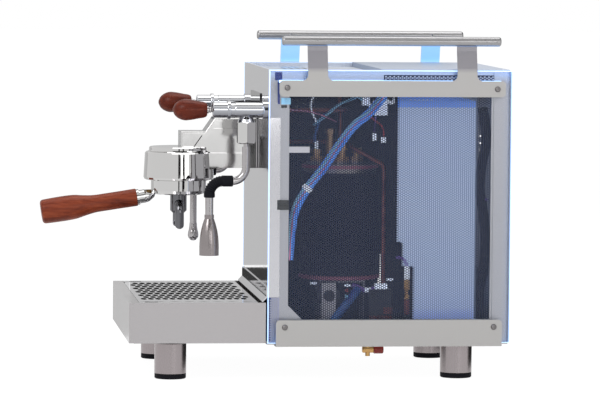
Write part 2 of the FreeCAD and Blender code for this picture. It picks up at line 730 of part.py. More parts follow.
# ================================================================== drip tray
def drip_tray():
    outer = block(-TRAY_HALF_W, TRAY_HALF_W, TRAY_FRONT, TRAY_BACK, TRAY_BOTTOM, TRAY_TOP)
    upright = [e for e in outer.Edges if abs(e.Length - (TRAY_TOP - TRAY_BOTTOM)) < 0.01
               and e.CenterOfMass.y < TRAY_FRONT + 1]
    outer = outer.makeFillet(2.0, upright)
    w = TRAY_WALL
    hollow = block(-TRAY_HALF_W + w, TRAY_HALF_W - w, TRAY_FRONT + w, TRAY_BACK - w,
                   TRAY_BOTTOM + w, TRAY_TOP + 1)
    tray = outer.cut(hollow)
    rim = block(-TRAY_HALF_W + w, TRAY_HALF_W - w, TRAY_FRONT + w, TRAY_FRONT + TRAY_RIM,
                TRAY_TOP - w, TRAY_TOP)
    lip = block(-TRAY_HALF_W + w, TRAY_HALF_W - w, TRAY_FRONT + TRAY_RIM - w,
                TRAY_FRONT + TRAY_RIM, GRID_BOTTOM - w, TRAY_TOP)
    front_ledge = block(-TRAY_HALF_W + w, TRAY_HALF_W - w, TRAY_FRONT + TRAY_RIM - w,
                        TRAY_FRONT + TRAY_RIM + GRID_LEDGE, GRID_BOTTOM - w, GRID_BOTTOM)
    ledges = [side_block(s, TRAY_HALF_W - w - GRID_LEDGE, TRAY_HALF_W - w,
                         TRAY_FRONT + TRAY_RIM, TRAY_BACK - w, GRID_BOTTOM - w, GRID_BOTTOM)
              for s in SIDES]
    return union([tray, rim, lip, front_ledge] + ledges)


def weave_slots():
    """Slots in basket-weave squares: two along X in one square, two along Y in the next."""
    y0 = FINGER_SLOT_Y[1]
    y1 = GRID_BACK - GRID_BORDER / 2
    x1 = GRID_HALF_W - GRID_BORDER
    columns = int(2 * x1 // WEAVE_CELL)
    rows = int((y1 - y0) // WEAVE_CELL)
    slots = []
    for i in range(columns):
        for j in range(rows):
            x = (i - (columns - 1) / 2) * WEAVE_CELL
            y = y1 - (j + 0.5) * WEAVE_CELL
            lengthwise = (i + j) % 2 == 0
            for side in SIDES:
                a = SLOT_L / 2
                b = SLOT_W / 2
                shift = side * SLOT_OFFSET
                if lengthwise:
                    slots.append(block(x - a, x + a, y + shift - b, y + shift + b,
                                       GRID_BOTTOM - 1, TRAY_TOP + 1))
                else:
                    slots.append(block(x + shift - b, x + shift + b, y - a, y + a,
                                       GRID_BOTTOM - 1, TRAY_TOP + 1))
    return slots


def drip_grid():
    plate = block(-GRID_HALF_W, GRID_HALF_W, GRID_FRONT, GRID_BACK, GRID_BOTTOM, TRAY_TOP)
    half = FINGER_SLOT_W / 2
    fingers = [side_block(s, FINGER_SLOT_X - half, FINGER_SLOT_X + half, *FINGER_SLOT_Y,
                          GRID_BOTTOM - 1, TRAY_TOP + 1) for s in SIDES]
    return plate.cut(group_of(weave_slots() + fingers))


def splash_plate():
    """Polished guard on the front panel, its lower edge bent out over the tray."""
    half = SPLASH_W / 2
    z0 = LIP_BOTTOM + LIP
    t = SPLASH_T
    tip = FRONT - t - LIP
    k = t * math.tan(math.radians(22.5))
    s = t * math.sqrt(0.5)
    outline = [(FRONT, z0 - k), (FRONT, z0 + SPLASH_H), (FRONT - t, z0 + SPLASH_H),
               (FRONT - t, z0), (tip, LIP_BOTTOM), (tip + s, LIP_BOTTOM - s)]
    return prism_x(outline, -half, half)


# ================================================================== group
def bell_outline():
    """Half outline of the bell in (radius, z), open at the axis."""
    r = BELL_ROUND
    return [(0, BELL_BOTTOM), (BELL_R - r, BELL_BOTTOM), (BELL_R - 0.3 * r, BELL_BOTTOM + 0.3 * r),
            (BELL_R, BELL_BOTTOM + r), (BELL_SHOULDER_R, BELL_SHOULDER_Z - 1.5),
            (BELL_SHOULDER_R - 1.5, BELL_SHOULDER_Z), (BELL_DISH_R + 1.0, BELL_SHOULDER_Z + 1.0),
            (BELL_DISH_R, BELL_SHOULDER_Z + 2.2), (BELL_DISH_R, BELL_TOP - 1.2),
            (BELL_DISH_R - 1.2, BELL_TOP), (0, BELL_TOP)]


def group_bell():
    bell = turned_z(bell_outline(), 0, GROUP_Y)
    bore = rod(V(0, GROUP_Y, BELL_BOTTOM - 1), V(0, 0, 1), RING_R, RING_CEILING - BELL_BOTTOM + 1)
    return bell.cut(bore)


def sector(angle, half_width, radius, z0, z1):
    """A wedge from the group axis, centred on angle (degrees from +X)."""
    points = [V(0, 0, z0)]
    for turn in (-half_width, 0, half_width):
        a = math.radians(angle + turn)
        points.append(V(radius * math.cos(a), radius * math.sin(a), z0))
    face = Part.Face(Part.makePolygon(points + points[:1]))
    wedge = face.extrude(V(0, 0, z1 - z0))
    wedge.translate(V(0, GROUP_Y, 0))
    return wedge


def lock_ring():
    """The ring that the portafilter's lugs turn in: a ledge with two entry gaps."""
    ledge_r = PF_RIM_R + 0.8
    channel_r = LUG_R + 0.4
    seat_r = GASKET_R[1] + SNUG
    z0 = BELL_BOTTOM + 0.8
    ring = turned_z([(ledge_r, z0), (RING_R, z0), (RING_R, RING_CEILING), (seat_r, RING_CEILING),
                     (seat_r, CHANNEL_TOP), (channel_r, CHANNEL_TOP), (channel_r, LEDGE_TOP),
                     (ledge_r, LEDGE_TOP)], 0, GROUP_Y)
    gap = rod(V(0, GROUP_Y, z0 - 1), V(0, 0, 1), channel_r, LEDGE_TOP - z0 + 2)
    for base in (0, 180):
        wedge = sector(base - UNLOCK_ANGLE, LUG_ANGLE / 2 + 3, 3 * RING_R, z0 - 1, LEDGE_TOP + 1)
        ring = ring.cut(gap.common(wedge))
    return ring


def group_gasket():
    inner, outer = GASKET_R
    return turned_z([(inner, GASKET_BOTTOM), (outer, GASKET_BOTTOM), (outer, RING_CEILING),
                     (inner, RING_CEILING)], 0, GROUP_Y)


def shower_screen():
    block_r = SHOWER_R
    screen = turned_z([(0, SHOWER_BOTTOM), (block_r - 1, SHOWER_BOTTOM), (block_r, SHOWER_BOTTOM + 1),
                       (block_r, RING_CEILING), (0, RING_CEILING)], 0, GROUP_Y)
    holes = []
    for radius in (12.0, 21.0):
        for k in range(SHOWER_HOLES):
            a = 2 * math.pi * k / SHOWER_HOLES
            holes.append(block(radius * math.cos(a) - 1, radius * math.cos(a) + 1,
                               GROUP_Y + radius * math.sin(a) - 1,
                               GROUP_Y + radius * math.sin(a) + 1,
                               SHOWER_BOTTOM - 1, SHOWER_BOTTOM + 2))
    return screen.cut(group_of(holes))


def group_neck():
    """The cast arm from the front panel to the bell: a lower beam, a web and a raked strut."""
    half = NECK_W / 2
    nose = NECK_NOSE_Y
    outline = [(FRONT, NECK_BOTTOM), (FRONT, NECK_CREST), (NECK_CREST_Y, NECK_CREST),
               (NECK_STRUT_FOOT_Y, NECK_TOP), (nose, NECK_TOP), (nose, BELL_TOP - 6),
               (GROUP_Y + BELL_DISH_R, NECK_BOTTOM - 2), (GROUP_Y + BELL_R + 6, NECK_BOTTOM)]
    body = prism_x(outline, -half, half)
    rims = [e for e in body.Edges if abs(abs(e.CenterOfMass.x) - half) < 0.01
            and e.CenterOfMass.z > NECK_STEP_Z]
    body = body.makeFillet(NECK_ROUND, rims)
    f = NECK_FRAME
    rake = (NECK_CREST_Y - NECK_STRUT_FOOT_Y) / (NECK_CREST - NECK_TOP)

    def strut_back(z, inset):
        return NECK_STRUT_FOOT_Y + (z - NECK_TOP) * rake + inset

    rib = (NECK_TOP - 2, NECK_TOP + 4)
    window = [(strut_back(NECK_CREST - f, STRUT_W), NECK_CREST - f),
              (FRONT - f, NECK_CREST - f), (FRONT - f, rib[1]),
              (strut_back(rib[1], STRUT_W), rib[1])]
    web = [(strut_back(rib[0], STRUT_W), rib[0]), (FRONT - f, rib[0]),
           (FRONT - f, NECK_STEP_Z), (strut_back(NECK_STEP_Z, STRUT_W), NECK_STEP_Z)]
    nose_panel = [(nose + f, NECK_TOP - f), (strut_back(NECK_TOP - f, 0), NECK_TOP - f),
                  (strut_back(BELL_TOP, 0), BELL_TOP), (nose + f, BELL_TOP)]
    tools = []
    for s in SIDES:
        outer = s * (half + 1)
        tools.append(prism_x(window, s * (half - NECK_SINK), outer))
        tools.append(prism_x(web, s * (half - NECK_SINK), outer))
        tools.append(prism_x(nose_panel, s * (half - NECK_SINK), outer))
    spigot = rod(V(0, FRONT, (NECK_STEP_Z + NECK_TOP) / 2), V(0, 1, 0), SPIGOT_R, SPIGOT_L)
    neck = cut(body, tools + [turned_z(bell_outline(), 0, GROUP_Y)])
    return neck.fuse(spigot)


# ================================================================== portafilter
def portafilter_body():
    z0, z1 = PF_BOTTOM, PF_TOP
    step = BELL_BOTTOM - PLAY
    r = PF_ROUND
    cup = turned_z([(SPOUT_STUB_R + SNUG, z0), (PF_R - r, z0), (PF_R - 0.3 * r, z0 + 0.3 * r),
                    (PF_R, z0 + r), (PF_R, step), (PF_RIM_R, step), (PF_RIM_R, z1),
                    (PF_CAVITY_R, z1), (PF_CAVITY_R, PF_FLOOR), (SPOUT_STUB_R + SNUG, PF_FLOOR)],
                   0, GROUP_Y)
    lug_disc = rod(V(0, GROUP_Y, LUG_BOTTOM), V(0, 0, 1), LUG_R, LUG_H)
    lug_disc = lug_disc.cut(rod(V(0, GROUP_Y, LUG_BOTTOM - 1), V(0, 0, 1), PF_RIM_R - 0.5,
                                LUG_H + 2))
    lugs = [lug_disc.common(sector(a, LUG_ANGLE / 2, 3 * LUG_R, LUG_BOTTOM - 1, LUG_TOP + 1))
            for a in (0, 180)]
    neck_start = HANDLE_ROOT - HANDLE_AXIS * FERRULE_L
    neck_end = V(0, GROUP_Y - PF_CAVITY_R + 2, PF_BOTTOM + ARM_R + 0.5)
    run = neck_end - neck_start
    arm = rod(neck_start, run, ARM_R, run.Length)
    arm = arm.common(rod(neck_start, V(0, 1, 0), ARM_R, run.Length))
    knuckle = Part.makeSphere(ARM_R, neck_start)
    socket = rod(V(0, GROUP_Y, PF_FLOOR), V(0, 0, 1), PF_CAVITY_R, 40)
    under = rod(V(0, GROUP_Y, PF_BOTTOM - 30), V(0, 0, 1), PF_CAVITY_R, 30)
    far_side = HANDLE_ROOT - HANDLE_AXIS * FERRULE_L
    ferrule_room = rod(far_side, HANDLE_AXIS, 2 * ARM_R, 30)
    arm = cut(union([arm, knuckle]), [socket, under, ferrule_room])
    return union([cup] + lugs + [arm])


def portafilter_ferrule():
    base = HANDLE_ROOT - HANDLE_AXIS * FERRULE_L
    return turned([(0, 0), (0, ARM_R), (2, FERRULE_R), (FERRULE_L - 3, FERRULE_R),
                   (FERRULE_L - 3, FERRULE_R + 1.4), (FERRULE_L, FERRULE_R + 1.4),
                   (FERRULE_L, 0)], base, HANDLE_AXIS)


def portafilter_handle():
    """Turned wood: a slim waist by the ferrule and a full grip with a rounded end."""
    thin, fat, length = HANDLE_THIN_R, HANDLE_FAT_R, HANDLE_L
    curve = [(0, thin), (0.3 * length, thin - 0.1), (0.45 * length, thin + 0.2),
             (0.55 * length, thin + 2.0), (0.64 * length, fat - 0.6), (0.72 * length, fat),
             (0.86 * length, fat), (length, fat - 0.6)]
    handle = smooth_turned([(0, 0)], curve, [(length, 0)], HANDLE_ROOT, HANDLE_AXIS)
    handle = round_rim(handle, HANDLE_ROOT + HANDLE_AXIS * length, HANDLE_END_ROUND)
    return round_rim(handle, HANDLE_ROOT, HANDLE_RIM_ROUND)


def filter_basket():
    r, t = BASKET_R, BASKET_T
    top = PF_TOP + t
    return turned_z([(0, BASKET_BOTTOM), (r - 1.5, BASKET_BOTTOM), (r, BASKET_BOTTOM + 1.5),
                     (r, PF_TOP), (BASKET_FLANGE_R, PF_TOP), (BASKET_FLANGE_R, top),
                     (r - t, top), (r - t, BASKET_BOTTOM + 1.5), (r - 1.8, BASKET_BOTTOM + t),
                     (0, BASKET_BOTTOM + t)], 0, GROUP_Y)


def basket_spring():
    middle = (BASKET_R + PF_CAVITY_R) / 2
    r = SPRING_WIRE_R
    z = LUG_BOTTOM
    return turned_z([(middle - r, z - r), (middle + r, z - r), (middle + r, z + r),
                     (middle - r, z + r)], 0, GROUP_Y)


def portafilter_spout():
    """Twin spout: a hub under the cup and two hollow arms, cut at a slant to open inwards."""
    hub = turned_z([(0, SPOUT_HUB_BOTTOM), (SPOUT_HUB_R - 3, SPOUT_HUB_BOTTOM),
                    (SPOUT_HUB_R, SPOUT_HUB_BOTTOM + 3), (SPOUT_HUB_R, PF_BOTTOM - 1),
                    (SPOUT_HUB_R - 1, PF_BOTTOM), (SPOUT_STUB_R, PF_BOTTOM),
                    (SPOUT_STUB_R, PF_FLOOR), (0, PF_FLOOR)], 0, GROUP_Y)
    branch_z = (SPOUT_HUB_BOTTOM + PF_BOTTOM) / 2
    pieces = [hub]
    bores = [rod(V(0, GROUP_Y, branch_z), V(0, 0, 1), SPOUT_R - SPOUT_WALL, 40)]
    for s in SIDES:
        path = bent_path([V(0, GROUP_Y, branch_z), V(s * SPOUT_X, GROUP_Y, branch_z),
                          V(s * SPOUT_X, GROUP_Y, SPOUT_BOTTOM)], SPOUT_BEND)
        pieces.append(swept(path, SPOUT_R))
        drain = bent_path([V(0, GROUP_Y, branch_z), V(s * SPOUT_X, GROUP_Y, branch_z),
                           V(s * SPOUT_X, GROUP_Y, SPOUT_BOTTOM - 1)], SPOUT_BEND)
        bores.append(swept(drain, SPOUT_R - SPOUT_WALL))
        r = SPOUT_R + 1
        slant = [V(s * (SPOUT_X + r), GROUP_Y - r, SPOUT_BOTTOM - 1),
                 V(s * (SPOUT_X - r), GROUP_Y - r, SPOUT_BOTTOM - 1),
                 V(s * (SPOUT_X - r), GROUP_Y - r, SPOUT_BOTTOM + 2 * SPOUT_R)]
        wedge = Part.Face(Part.makePolygon(slant + slant[:1])).extrude(V(0, 2 * r, 0))
        bores.append(wedge)
    return cut(union(pieces), bores)


# ================================================================== taps
def valve_body(side):
    """Barrel through the front panel, with the domed boss that the ball nut screws on."""
    x = side * TAP_X
    e = BARREL_END
    barrel = turned([(e, 0), (e, BARREL_FLANGE_R), (e + 2.4, BARREL_FLANGE_R),
                     (e + 2.8, BARREL_R - 0.5), (e + 8.5, BARREL_R - 0.5), (e + 9.5, BARREL_R),
                     (FRONT - 4.5, BARREL_R), (FRONT - 4.0, BARREL_FLANGE_R),
                     (FRONT, BARREL_FLANGE_R), (FRONT, BARREL_STUB_R), (FRONT_IN, BARREL_STUB_R),
                     (FRONT_IN, BARREL_FLANGE_R), (FRONT_IN + 6, BARREL_FLANGE_R),
                     (FRONT_IN + 6, BARREL_STUB_R),
                     (BARREL_STUB_L, BARREL_STUB_R), (BARREL_STUB_L, 0)],
                    V(x, 0, TAP_Z), V(0, 1, 0))
    dome = turned_z([(0, BOSS_BOTTOM), (WAND_BOSS_R, BOSS_BOTTOM), (WAND_BOSS_R, NUT_TOP),
                     (NUT_AF / 2, NUT_TOP), (NUT_AF / 2 - 1.5, NUT_TOP + 3.5), (6.0, DOME_TOP),
                     (0, DOME_TOP)], x, WAND_Y)
    return union([barrel, dome])


def valve_cap(side):
    x = side * TAP_X
    length = BARREL_END - CAP_FRONT
    cap = turned([(0, 0), (0, CAP_R - 1.2), (1.2, CAP_R), (length - 0.6, CAP_R),
                  (length, CAP_R - 0.6), (length, 0)], V(x, CAP_FRONT, TAP_Z), V(0, 1, 0))
    centre = V(x, PIVOT_Y, TAP_Z)
    cavity_r = GIMBAL_R + FIT * 2
    mouth_l = PIVOT_Y - CAP_FRONT + 1
    mouth = Part.makeCone(CAP_MOUTH_R, 3.5, mouth_l, V(x, CAP_FRONT - 1, TAP_Z), V(0, 1, 0))
    bore = rod(centre, V(0, 1, 0), cavity_r, BARREL_END - PIVOT_Y + 1)
    return cut(cap, [Part.makeSphere(cavity_r, centre), mouth, bore])


def lever_gimbal(side):
    centre = V(side * TAP_X, PIVOT_Y, TAP_Z)
    ring = Part.makeSphere(GIMBAL_R, centre).cut(Part.makeSphere(LEVER_BALL_R + FIT * 2, centre))
    slab = block(centre.x - 20, centre.x + 20, PIVOT_Y - GIMBAL_W, PIVOT_Y + GIMBAL_W,
                 TAP_Z - 20, TAP_Z + 20)
    return ring.common(slab)


def lever_stem(side):
    centre = V(side * TAP_X, PIVOT_Y, TAP_Z)
    ball = Part.makeSphere(LEVER_BALL_R, centre)
    reach = PIVOT_Y - KNOB_BACK
    stem = turned([(0, 0), (0, STEM_R), (reach - 6.0, STEM_R), (reach - 5.0, 3.6),
                   (reach - 3.0, 3.6), (reach - 2.4, 3.0), (reach - 2.0, 4.6), (reach, 4.6),
                   (reach, STEM_R), (reach + KNOB_BORE - 1, STEM_R), (reach + KNOB_BORE - 1, 0)],
                  centre, V(0, -1, 0))
    return union([ball, stem])


def lever_knob(side):
    """A turned wooden knob, fullest near its free end."""
    base = V(side * TAP_X, KNOB_BACK, TAP_Z)
    n = KNOB_L
    curve = [(0, 7.6), (1.6, 9.0), (0.26 * n, 11.1), (0.5 * n, KNOB_R - 0.4),
             (0.66 * n, KNOB_R), (0.82 * n, KNOB_R - 2.2), (0.94 * n, KNOB_R - 6.3), (n, 2.0)]
    bore = STEM_R + FIT
    start = [(KNOB_BORE, 0), (KNOB_BORE, bore), (0, bore)]
    return smooth_turned(start, curve, [(n, 0)], base, V(0, -1, 0))


# ================================================================== wands
def ball_nut(side):
    x = side * TAP_X
    nut = hexagon(NUT_AF, x, WAND_Y, NUT_BOTTOM, NUT_TOP)
    r = NUT_AF / math.sqrt(3)
    turned_shape = turned_z([(0, NUT_BOTTOM), (NUT_AF / 2 - 1.5, NUT_BOTTOM),
                             (r + 0.1, NUT_BOTTOM + 2.4), (r + 0.1, NUT_TOP - 1.6),
                             (NUT_AF / 2, NUT_TOP), (0, NUT_TOP)], x, WAND_Y)
    centre = V(x, WAND_Y, BALL_Z)
    cavity_r = SEAT_R + FIT * 2
    bore = rod(centre, V(0, 0, 1), cavity_r, BOSS_BOTTOM - BALL_Z - 1)
    thread = rod(centre, V(0, 0, 1), WAND_BOSS_R + FIT, NUT_TOP - BALL_Z + 1)
    mouth = rod(V(x, WAND_Y, NUT_BOTTOM - 1), V(0, 0, 1), NUT_MOUTH_R, 8)
    return cut(nut.common(turned_shape), [Part.makeSphere(cavity_r, centre), bore, thread, mouth])


def wand_seat(side):
    centre = V(side * TAP_X, WAND_Y, BALL_Z)
    ring = Part.makeSphere(SEAT_R, centre).cut(Part.makeSphere(WAND_BALL_R + FIT * 2, centre))
    slab = block(centre.x - 20, centre.x + 20, WAND_Y - 20, WAND_Y + 20,
                 BALL_Z - SEAT_W, BALL_Z + SEAT_W)
    return ring.common(slab)


def wand_path(side, start_z, end_z):
    x = side * TAP_X
    return bent_path([V(x, WAND_Y, start_z), V(x, WAND_Y, WAND_LEVEL_Z),
                      V(x, WAND_DROP_Y, WAND_LEVEL_Z), V(x, WAND_DROP_Y, end_z)], WAND_BEND)


def wand_pipe(side):
    centre = V(side * TAP_X, WAND_Y, BALL_Z)
    ball = Part.makeSphere(WAND_BALL_R, centre)
    neck = rod(centre, V(0, 0, -1), WAND_NECK_R, BALL_Z - WAND_PIPE_TOP + 2)
    pipe = swept(wand_path(side, WAND_PIPE_TOP, PIPE_END[side]), WAND_R[side])
    return union([ball, neck, pipe])


def wand_grip(side):
    """Rubber sleeve over the lower bend."""
    x = side * TAP_X
    path = bent_path([V(x, GRIP_START, WAND_LEVEL_Z), V(x, WAND_DROP_Y, WAND_LEVEL_Z),
                      V(x, WAND_DROP_Y, GRIP_END_Z)], WAND_BEND)
    sleeve = swept(path, GRIP_R)
    return sleeve.cut(swept(wand_path(side, WAND_PIPE_TOP, PIPE_END[side]), WAND_R[side]))


def water_nozzle():
    """Bell-shaped outlet of the hot-water wand, open below."""
    top = PIPE_END[1]
    neck_r = WAND_R[1] + 1.0
    t = NOZZLE_WALL
    r = NOZZLE_R
    z0, z1, z2 = NOZZLE_BOTTOM, NOZZLE_CONE_Z, NOZZLE_COLLAR_Z
    flare = [(top - z2, neck_r), (top - z2 + 8.5, neck_r + 2.7), (top - z1 - 3, r - 1.2),
             (top - z1 + 9, r - 0.1), (top - z0, r)]
    bore = [(top - z0, r - t), (top - z1 + 4, r - t), (top - z2 + 8, WAND_R[1] - 1),
            (top - z2 + 8, 0)]
    start = [(0, 0), (0, neck_r), (top - z2 - 0.8, neck_r), (top - z2 - 0.8, neck_r - 0.5),
             (top - z2, neck_r - 0.5)]
    return smooth_turned(start, flare, bore, V(TAP_X, WAND_DROP_Y, top), V(0, 0, -1))


def steam_tip():
    """Pear-shaped tip with four small steam holes round its end."""
    top = PIPE_END[-1]
    r = TIP_R
    n = top - TIP_BOTTOM
    curve = [(0, WAND_R[-1] + 0.3), (0.3 * n, WAND_R[-1] + 0.9), (0.62 * n, r - 0.1),
             (0.78 * n, r - 0.3), (0.94 * n, r - 3.0), (n, r - 5.5)]
    base = V(-TAP_X, WAND_DROP_Y, top)
    tip = smooth_turned([(0, 0)], curve, [(n, 0)], base, V(0, 0, -1))
    holes = []
    for k in range(4):
        a = math.radians(45 + 90 * k)
        out = V(math.cos(a), math.sin(a), -1)
        holes.append(rod(base + V(0, 0, 6 - n) + out * 2, out, STEAM_HOLE_R, r))
    return cut(tip, holes)


# ================================================================== display, back, underside
def touch_display():
    half = DISPLAY_W / 2
    pane = block(-half, half, FRONT - SHEET, FRONT, *DISPLAY_Z)
    corners = [e for e in pane.Edges if e.Length < SHEET + 0.01]
    return pane.makeFillet(3.0, corners)


def mains_inlet():
    """Combined inlet: a socket for a loose mains lead below, the switch opening above."""
    w, h = INLET_W / 2, INLET_H / 2
    body = block(INLET_X - w, INLET_X + w, BODY_L - INLET_DEPTH, BODY_L, INLET_Z - h, INLET_Z + h)
    rim = block(INLET_X - w - 3, INLET_X + w + 3, BODY_L, BODY_L + INLET_FLANGE,
                INLET_Z - h - 3, INLET_Z + h + 3)
    z = INLET_Z - SOCKET_DROP
    front = BODY_L + INLET_FLANGE + 1
    socket = block(INLET_X - SOCKET_W / 2, INLET_X + SOCKET_W / 2, BODY_L - SOCKET_DEPTH, front,
                   z - SOCKET_H / 2, z + SOCKET_H / 2)
    blades = [block(INLET_X + dx - 1, INLET_X + dx + 1, BODY_L - SOCKET_DEPTH,
                    BODY_L - SOCKET_BLADE_SET, z + dz - 2.5, z + dz + 2.5)
              for dx, dz in SOCKET_BLADES]
    z = INLET_Z + ROCKER_RISE
    well = block(INLET_X - ROCKER_W / 2 - PLAY, INLET_X + ROCKER_W / 2 + PLAY,
                 BODY_L - ROCKER_WELL, front, z - ROCKER_H / 2 - PLAY, z + ROCKER_H / 2 + PLAY)
    pin = rod(V(INLET_X - ROCKER_W / 2 - 2, ROCKER_PIVOT_Y, z), V(1, 0, 0), ROCKER_PIN_R,
              ROCKER_W + 4)
    return union([cut(union([body, rim]), [socket, well]), pin] + blades)


def power_rocker():
    """Rocker that turns on the inlet's pin; at rest one half of it is pressed in."""
    z = INLET_Z + ROCKER_RISE
    y = ROCKER_PIVOT_Y
    half = ROCKER_H / 2 - ROCKER_GAP
    outline = [(y - 3, -3), (y + 4.6, -half), (y + 5.6, 0), (y + 4.6, half), (y - 3, 3)]
    cap = prism_x([(a, z + b) for a, b in outline], INLET_X - ROCKER_W / 2, INLET_X + ROCKER_W / 2)
    bore = rod(V(INLET_X - ROCKER_W, y, z), V(1, 0, 0), ROCKER_PIN_R + FIT, 2 * ROCKER_W)
    cap = cap.cut(bore)
    cap.rotate(V(INLET_X, y, z), V(1, 0, 0), -ROCKER_ANGLE)
    return cap


def drain_valve():
    """Brass boiler drain under the base plate."""
    y0, y1 = DRAIN_Y
    middle = (y0 + y1) / 2
    barrel = turned([(0, 0), (0, DRAIN_R - 1), (1, DRAIN_R), (y1 - y0, DRAIN_R), (y1 - y0, 0)],
                    V(DRAIN_X, y0, DRAIN_Z), V(0, 1, 0))
    stub = rod(V(DRAIN_X, middle, DRAIN_Z), V(0, 0, 1), DRAIN_STUB_R, BASE_TOP + 8 - DRAIN_Z)
    nose = rod(V(DRAIN_X, middle, DRAIN_Z), V(0, 0, -1), DRAIN_STUB_R - 1, DRAIN_R + 4)
    bore = rod(V(DRAIN_X, y1 - 8, DRAIN_Z), V(0, 1, 0), DRAIN_SPINDLE_R + FIT, 10)
    collar = rod(V(DRAIN_X, middle, BASE_TOP), V(0, 0, 1), DRAIN_STUB_R + 2, 3)
    return union([barrel, stub, nose, collar]).cut(bore)


def drain_knob():
    y1 = DRAIN_Y[1]
    r = DRAIN_KNOB_R
    return turned([(-7, 0), (-7, DRAIN_SPINDLE_R), (PLAY, DRAIN_SPINDLE_R), (PLAY, r - 1),
                   (1.3, r), (DRAIN_KNOB_L - 1, r), (DRAIN_KNOB_L, r - 1), (DRAIN_KNOB_L, 0)],
                  V(DRAIN_X, y1, DRAIN_Z), V(0, 1, 0))


# ================================================================== inside
def boilers():
    """Steam boiler on the right and coffee boiler on the left, upright, with their fittings."""
    shells = []
    for s in SIDES:
        x, y, r = BOILER_X[s], BOILER_Y[s], BOILER_R[s]
        z0, z1 = BOILER_Z[s]
        shell = turned_z([(0, z0), (r - 8, z0), (r, z0 + 5), (r, z1 - 7), (r + 2, z1 - 7),
                          (r + 2, z1 - 1), (r - 3, z1), (12, z1), (12, z1 + 6), (0, z1 + 6)], x, y)
        fittings = []
        for dx, dy, height in BOILER_FITTINGS:
            foot = z1 - 0.5
            nut = hexagon(FITTING_AF, x + dx * r, y + dy * r, foot, foot + 9)
            stem = rod(V(x + dx * r, y + dy * r, foot), V(0, 0, 1), FITTING_AF / 3, height)
            collar = hexagon(FITTING_AF * 0.8, x + dx * r, y + dy * r, foot + height - 6,
                             foot + height, 30)
            fittings += [nut, stem, collar]
        shells.append(union([shell] + fittings))
    return group_of(shells)


def boiler_jackets():
    jackets = []
    for s in SIDES:
        top = min(JACKET_Z[1], BOILER_Z[s][1] - 12)
        r = BOILER_R[s]
        jackets.append(turned_z([(r, JACKET_Z[0]), (r + JACKET_T, JACKET_Z[0]),
                                 (r + JACKET_T, top), (r, top)], BOILER_X[s], BOILER_Y[s]))
    return group_of(jackets)


def inner_brackets():
    """Stands on the base plate for the boilers, the tank and the pump."""
    stands = []
    for s in SIDES:
        x, y, z0 = BOILER_X[s], BOILER_Y[s], BOILER_Z[s][0]
        half = BOILER_R[s] * 0.6
        legs = [block(x - half, x + half, y + d * half, y + d * half + STAND_T, BASE_TOP, z0)
                for d in (-1, 1)]
        deck = block(x - half, x + half, y - half, y + half + STAND_T, z0 - STAND_T, z0)
        stands.append(union(legs + [deck]))
    inset = 8.0
    y0 = TANK_Y[0] + TANK_STEPS[-1][1]
    y1 = TANK_Y[1]
    deck = block(-TANK_X + inset, TANK_X - inset, y0, y1, TANK_Z[0] - STAND_T, TANK_Z[0])
    legs = [side_block(s, TANK_X - inset - STAND_T, TANK_X - inset, y0, y1, BASE_TOP, TANK_Z[0])
            for s in SIDES]
    stands.append(union([deck] + legs))
    width, t = PUMP_PLATE
    x1 = PUMP_X[1]
    plate = block(x1, x1 + t, PUMP_Y - width / 2, PUMP_Y + width / 2, BASE_TOP, PUMP_Z + 16)
    stands.append(plate.cut(rod(V(x1 - 1, PUMP_Y, PUMP_Z), V(1, 0, 0), PUMP_R / 2 + SNUG, t + 2)))
    stands.append(block(FRAME_IN - STAND_T, FRAME_IN, FRONT_IN + PLAY, STRAP_Y, *STRAP_Z))
    return group_of(stands)


def pump():
    x0, x1 = PUMP_X
    return turned([(0, 0), (0, PUMP_R - 5), (10, PUMP_R - 5), (10, PUMP_R), (x1 - x0, PUMP_R),
                   (x1 - x0, PUMP_R / 2), (x1 - x0 + 6, PUMP_R / 2), (x1 - x0 + 6, 0)],
                  V(x0, PUMP_Y, PUMP_Z), V(1, 0, 0))


def control_box():
    return block(*BOX_X, *BOX_Y, BASE_TOP, BOX_Z_TOP)


def water_tank():
    y0, y1 = TANK_Y
    z0, z1 = TANK_Z
    (step_z, step), (low_z, low) = TANK_STEPS
    outline = [(y0 + low, z0), (y0 + low, low_z), (y0 + step, low_z), (y0 + step, step_z),
               (y0, step_z), (y0, z1), (y1, z1), (y1, z0)]
    w = TANK_WALL
    inner = [(y0 + low + w, z0 + w), (y0 + low + w, low_z + w), (y0 + step + w, low_z + w),
             (y0 + step + w, step_z + w), (y0 + w, step_z + w), (y0 + w, z1 + 1),
             (y1 - w, z1 + 1), (y1 - w, z0 + w)]
    tank = prism_x(outline, -TANK_X, TANK_X)
    return tank.cut(prism_x(inner, -TANK_X + w, TANK_X - w))


def tank_cap():
    """Cap frame on the tank's rim, with the filling hole."""
    y0, y1 = TANK_Y
    z = TANK_Z[1]
    plate = block(-TANK_X, TANK_X, y0, y1, z, z + TANK_CAP_H)
    hole = block(-TANK_X + CAP_MARGIN_X, TANK_X - CAP_MARGIN_X, y0 + CAP_MARGIN_Y,
                 y1 - CAP_MARGIN_Y, z - 1, z + TANK_CAP_H + 1)
    return plate.cut(hole)


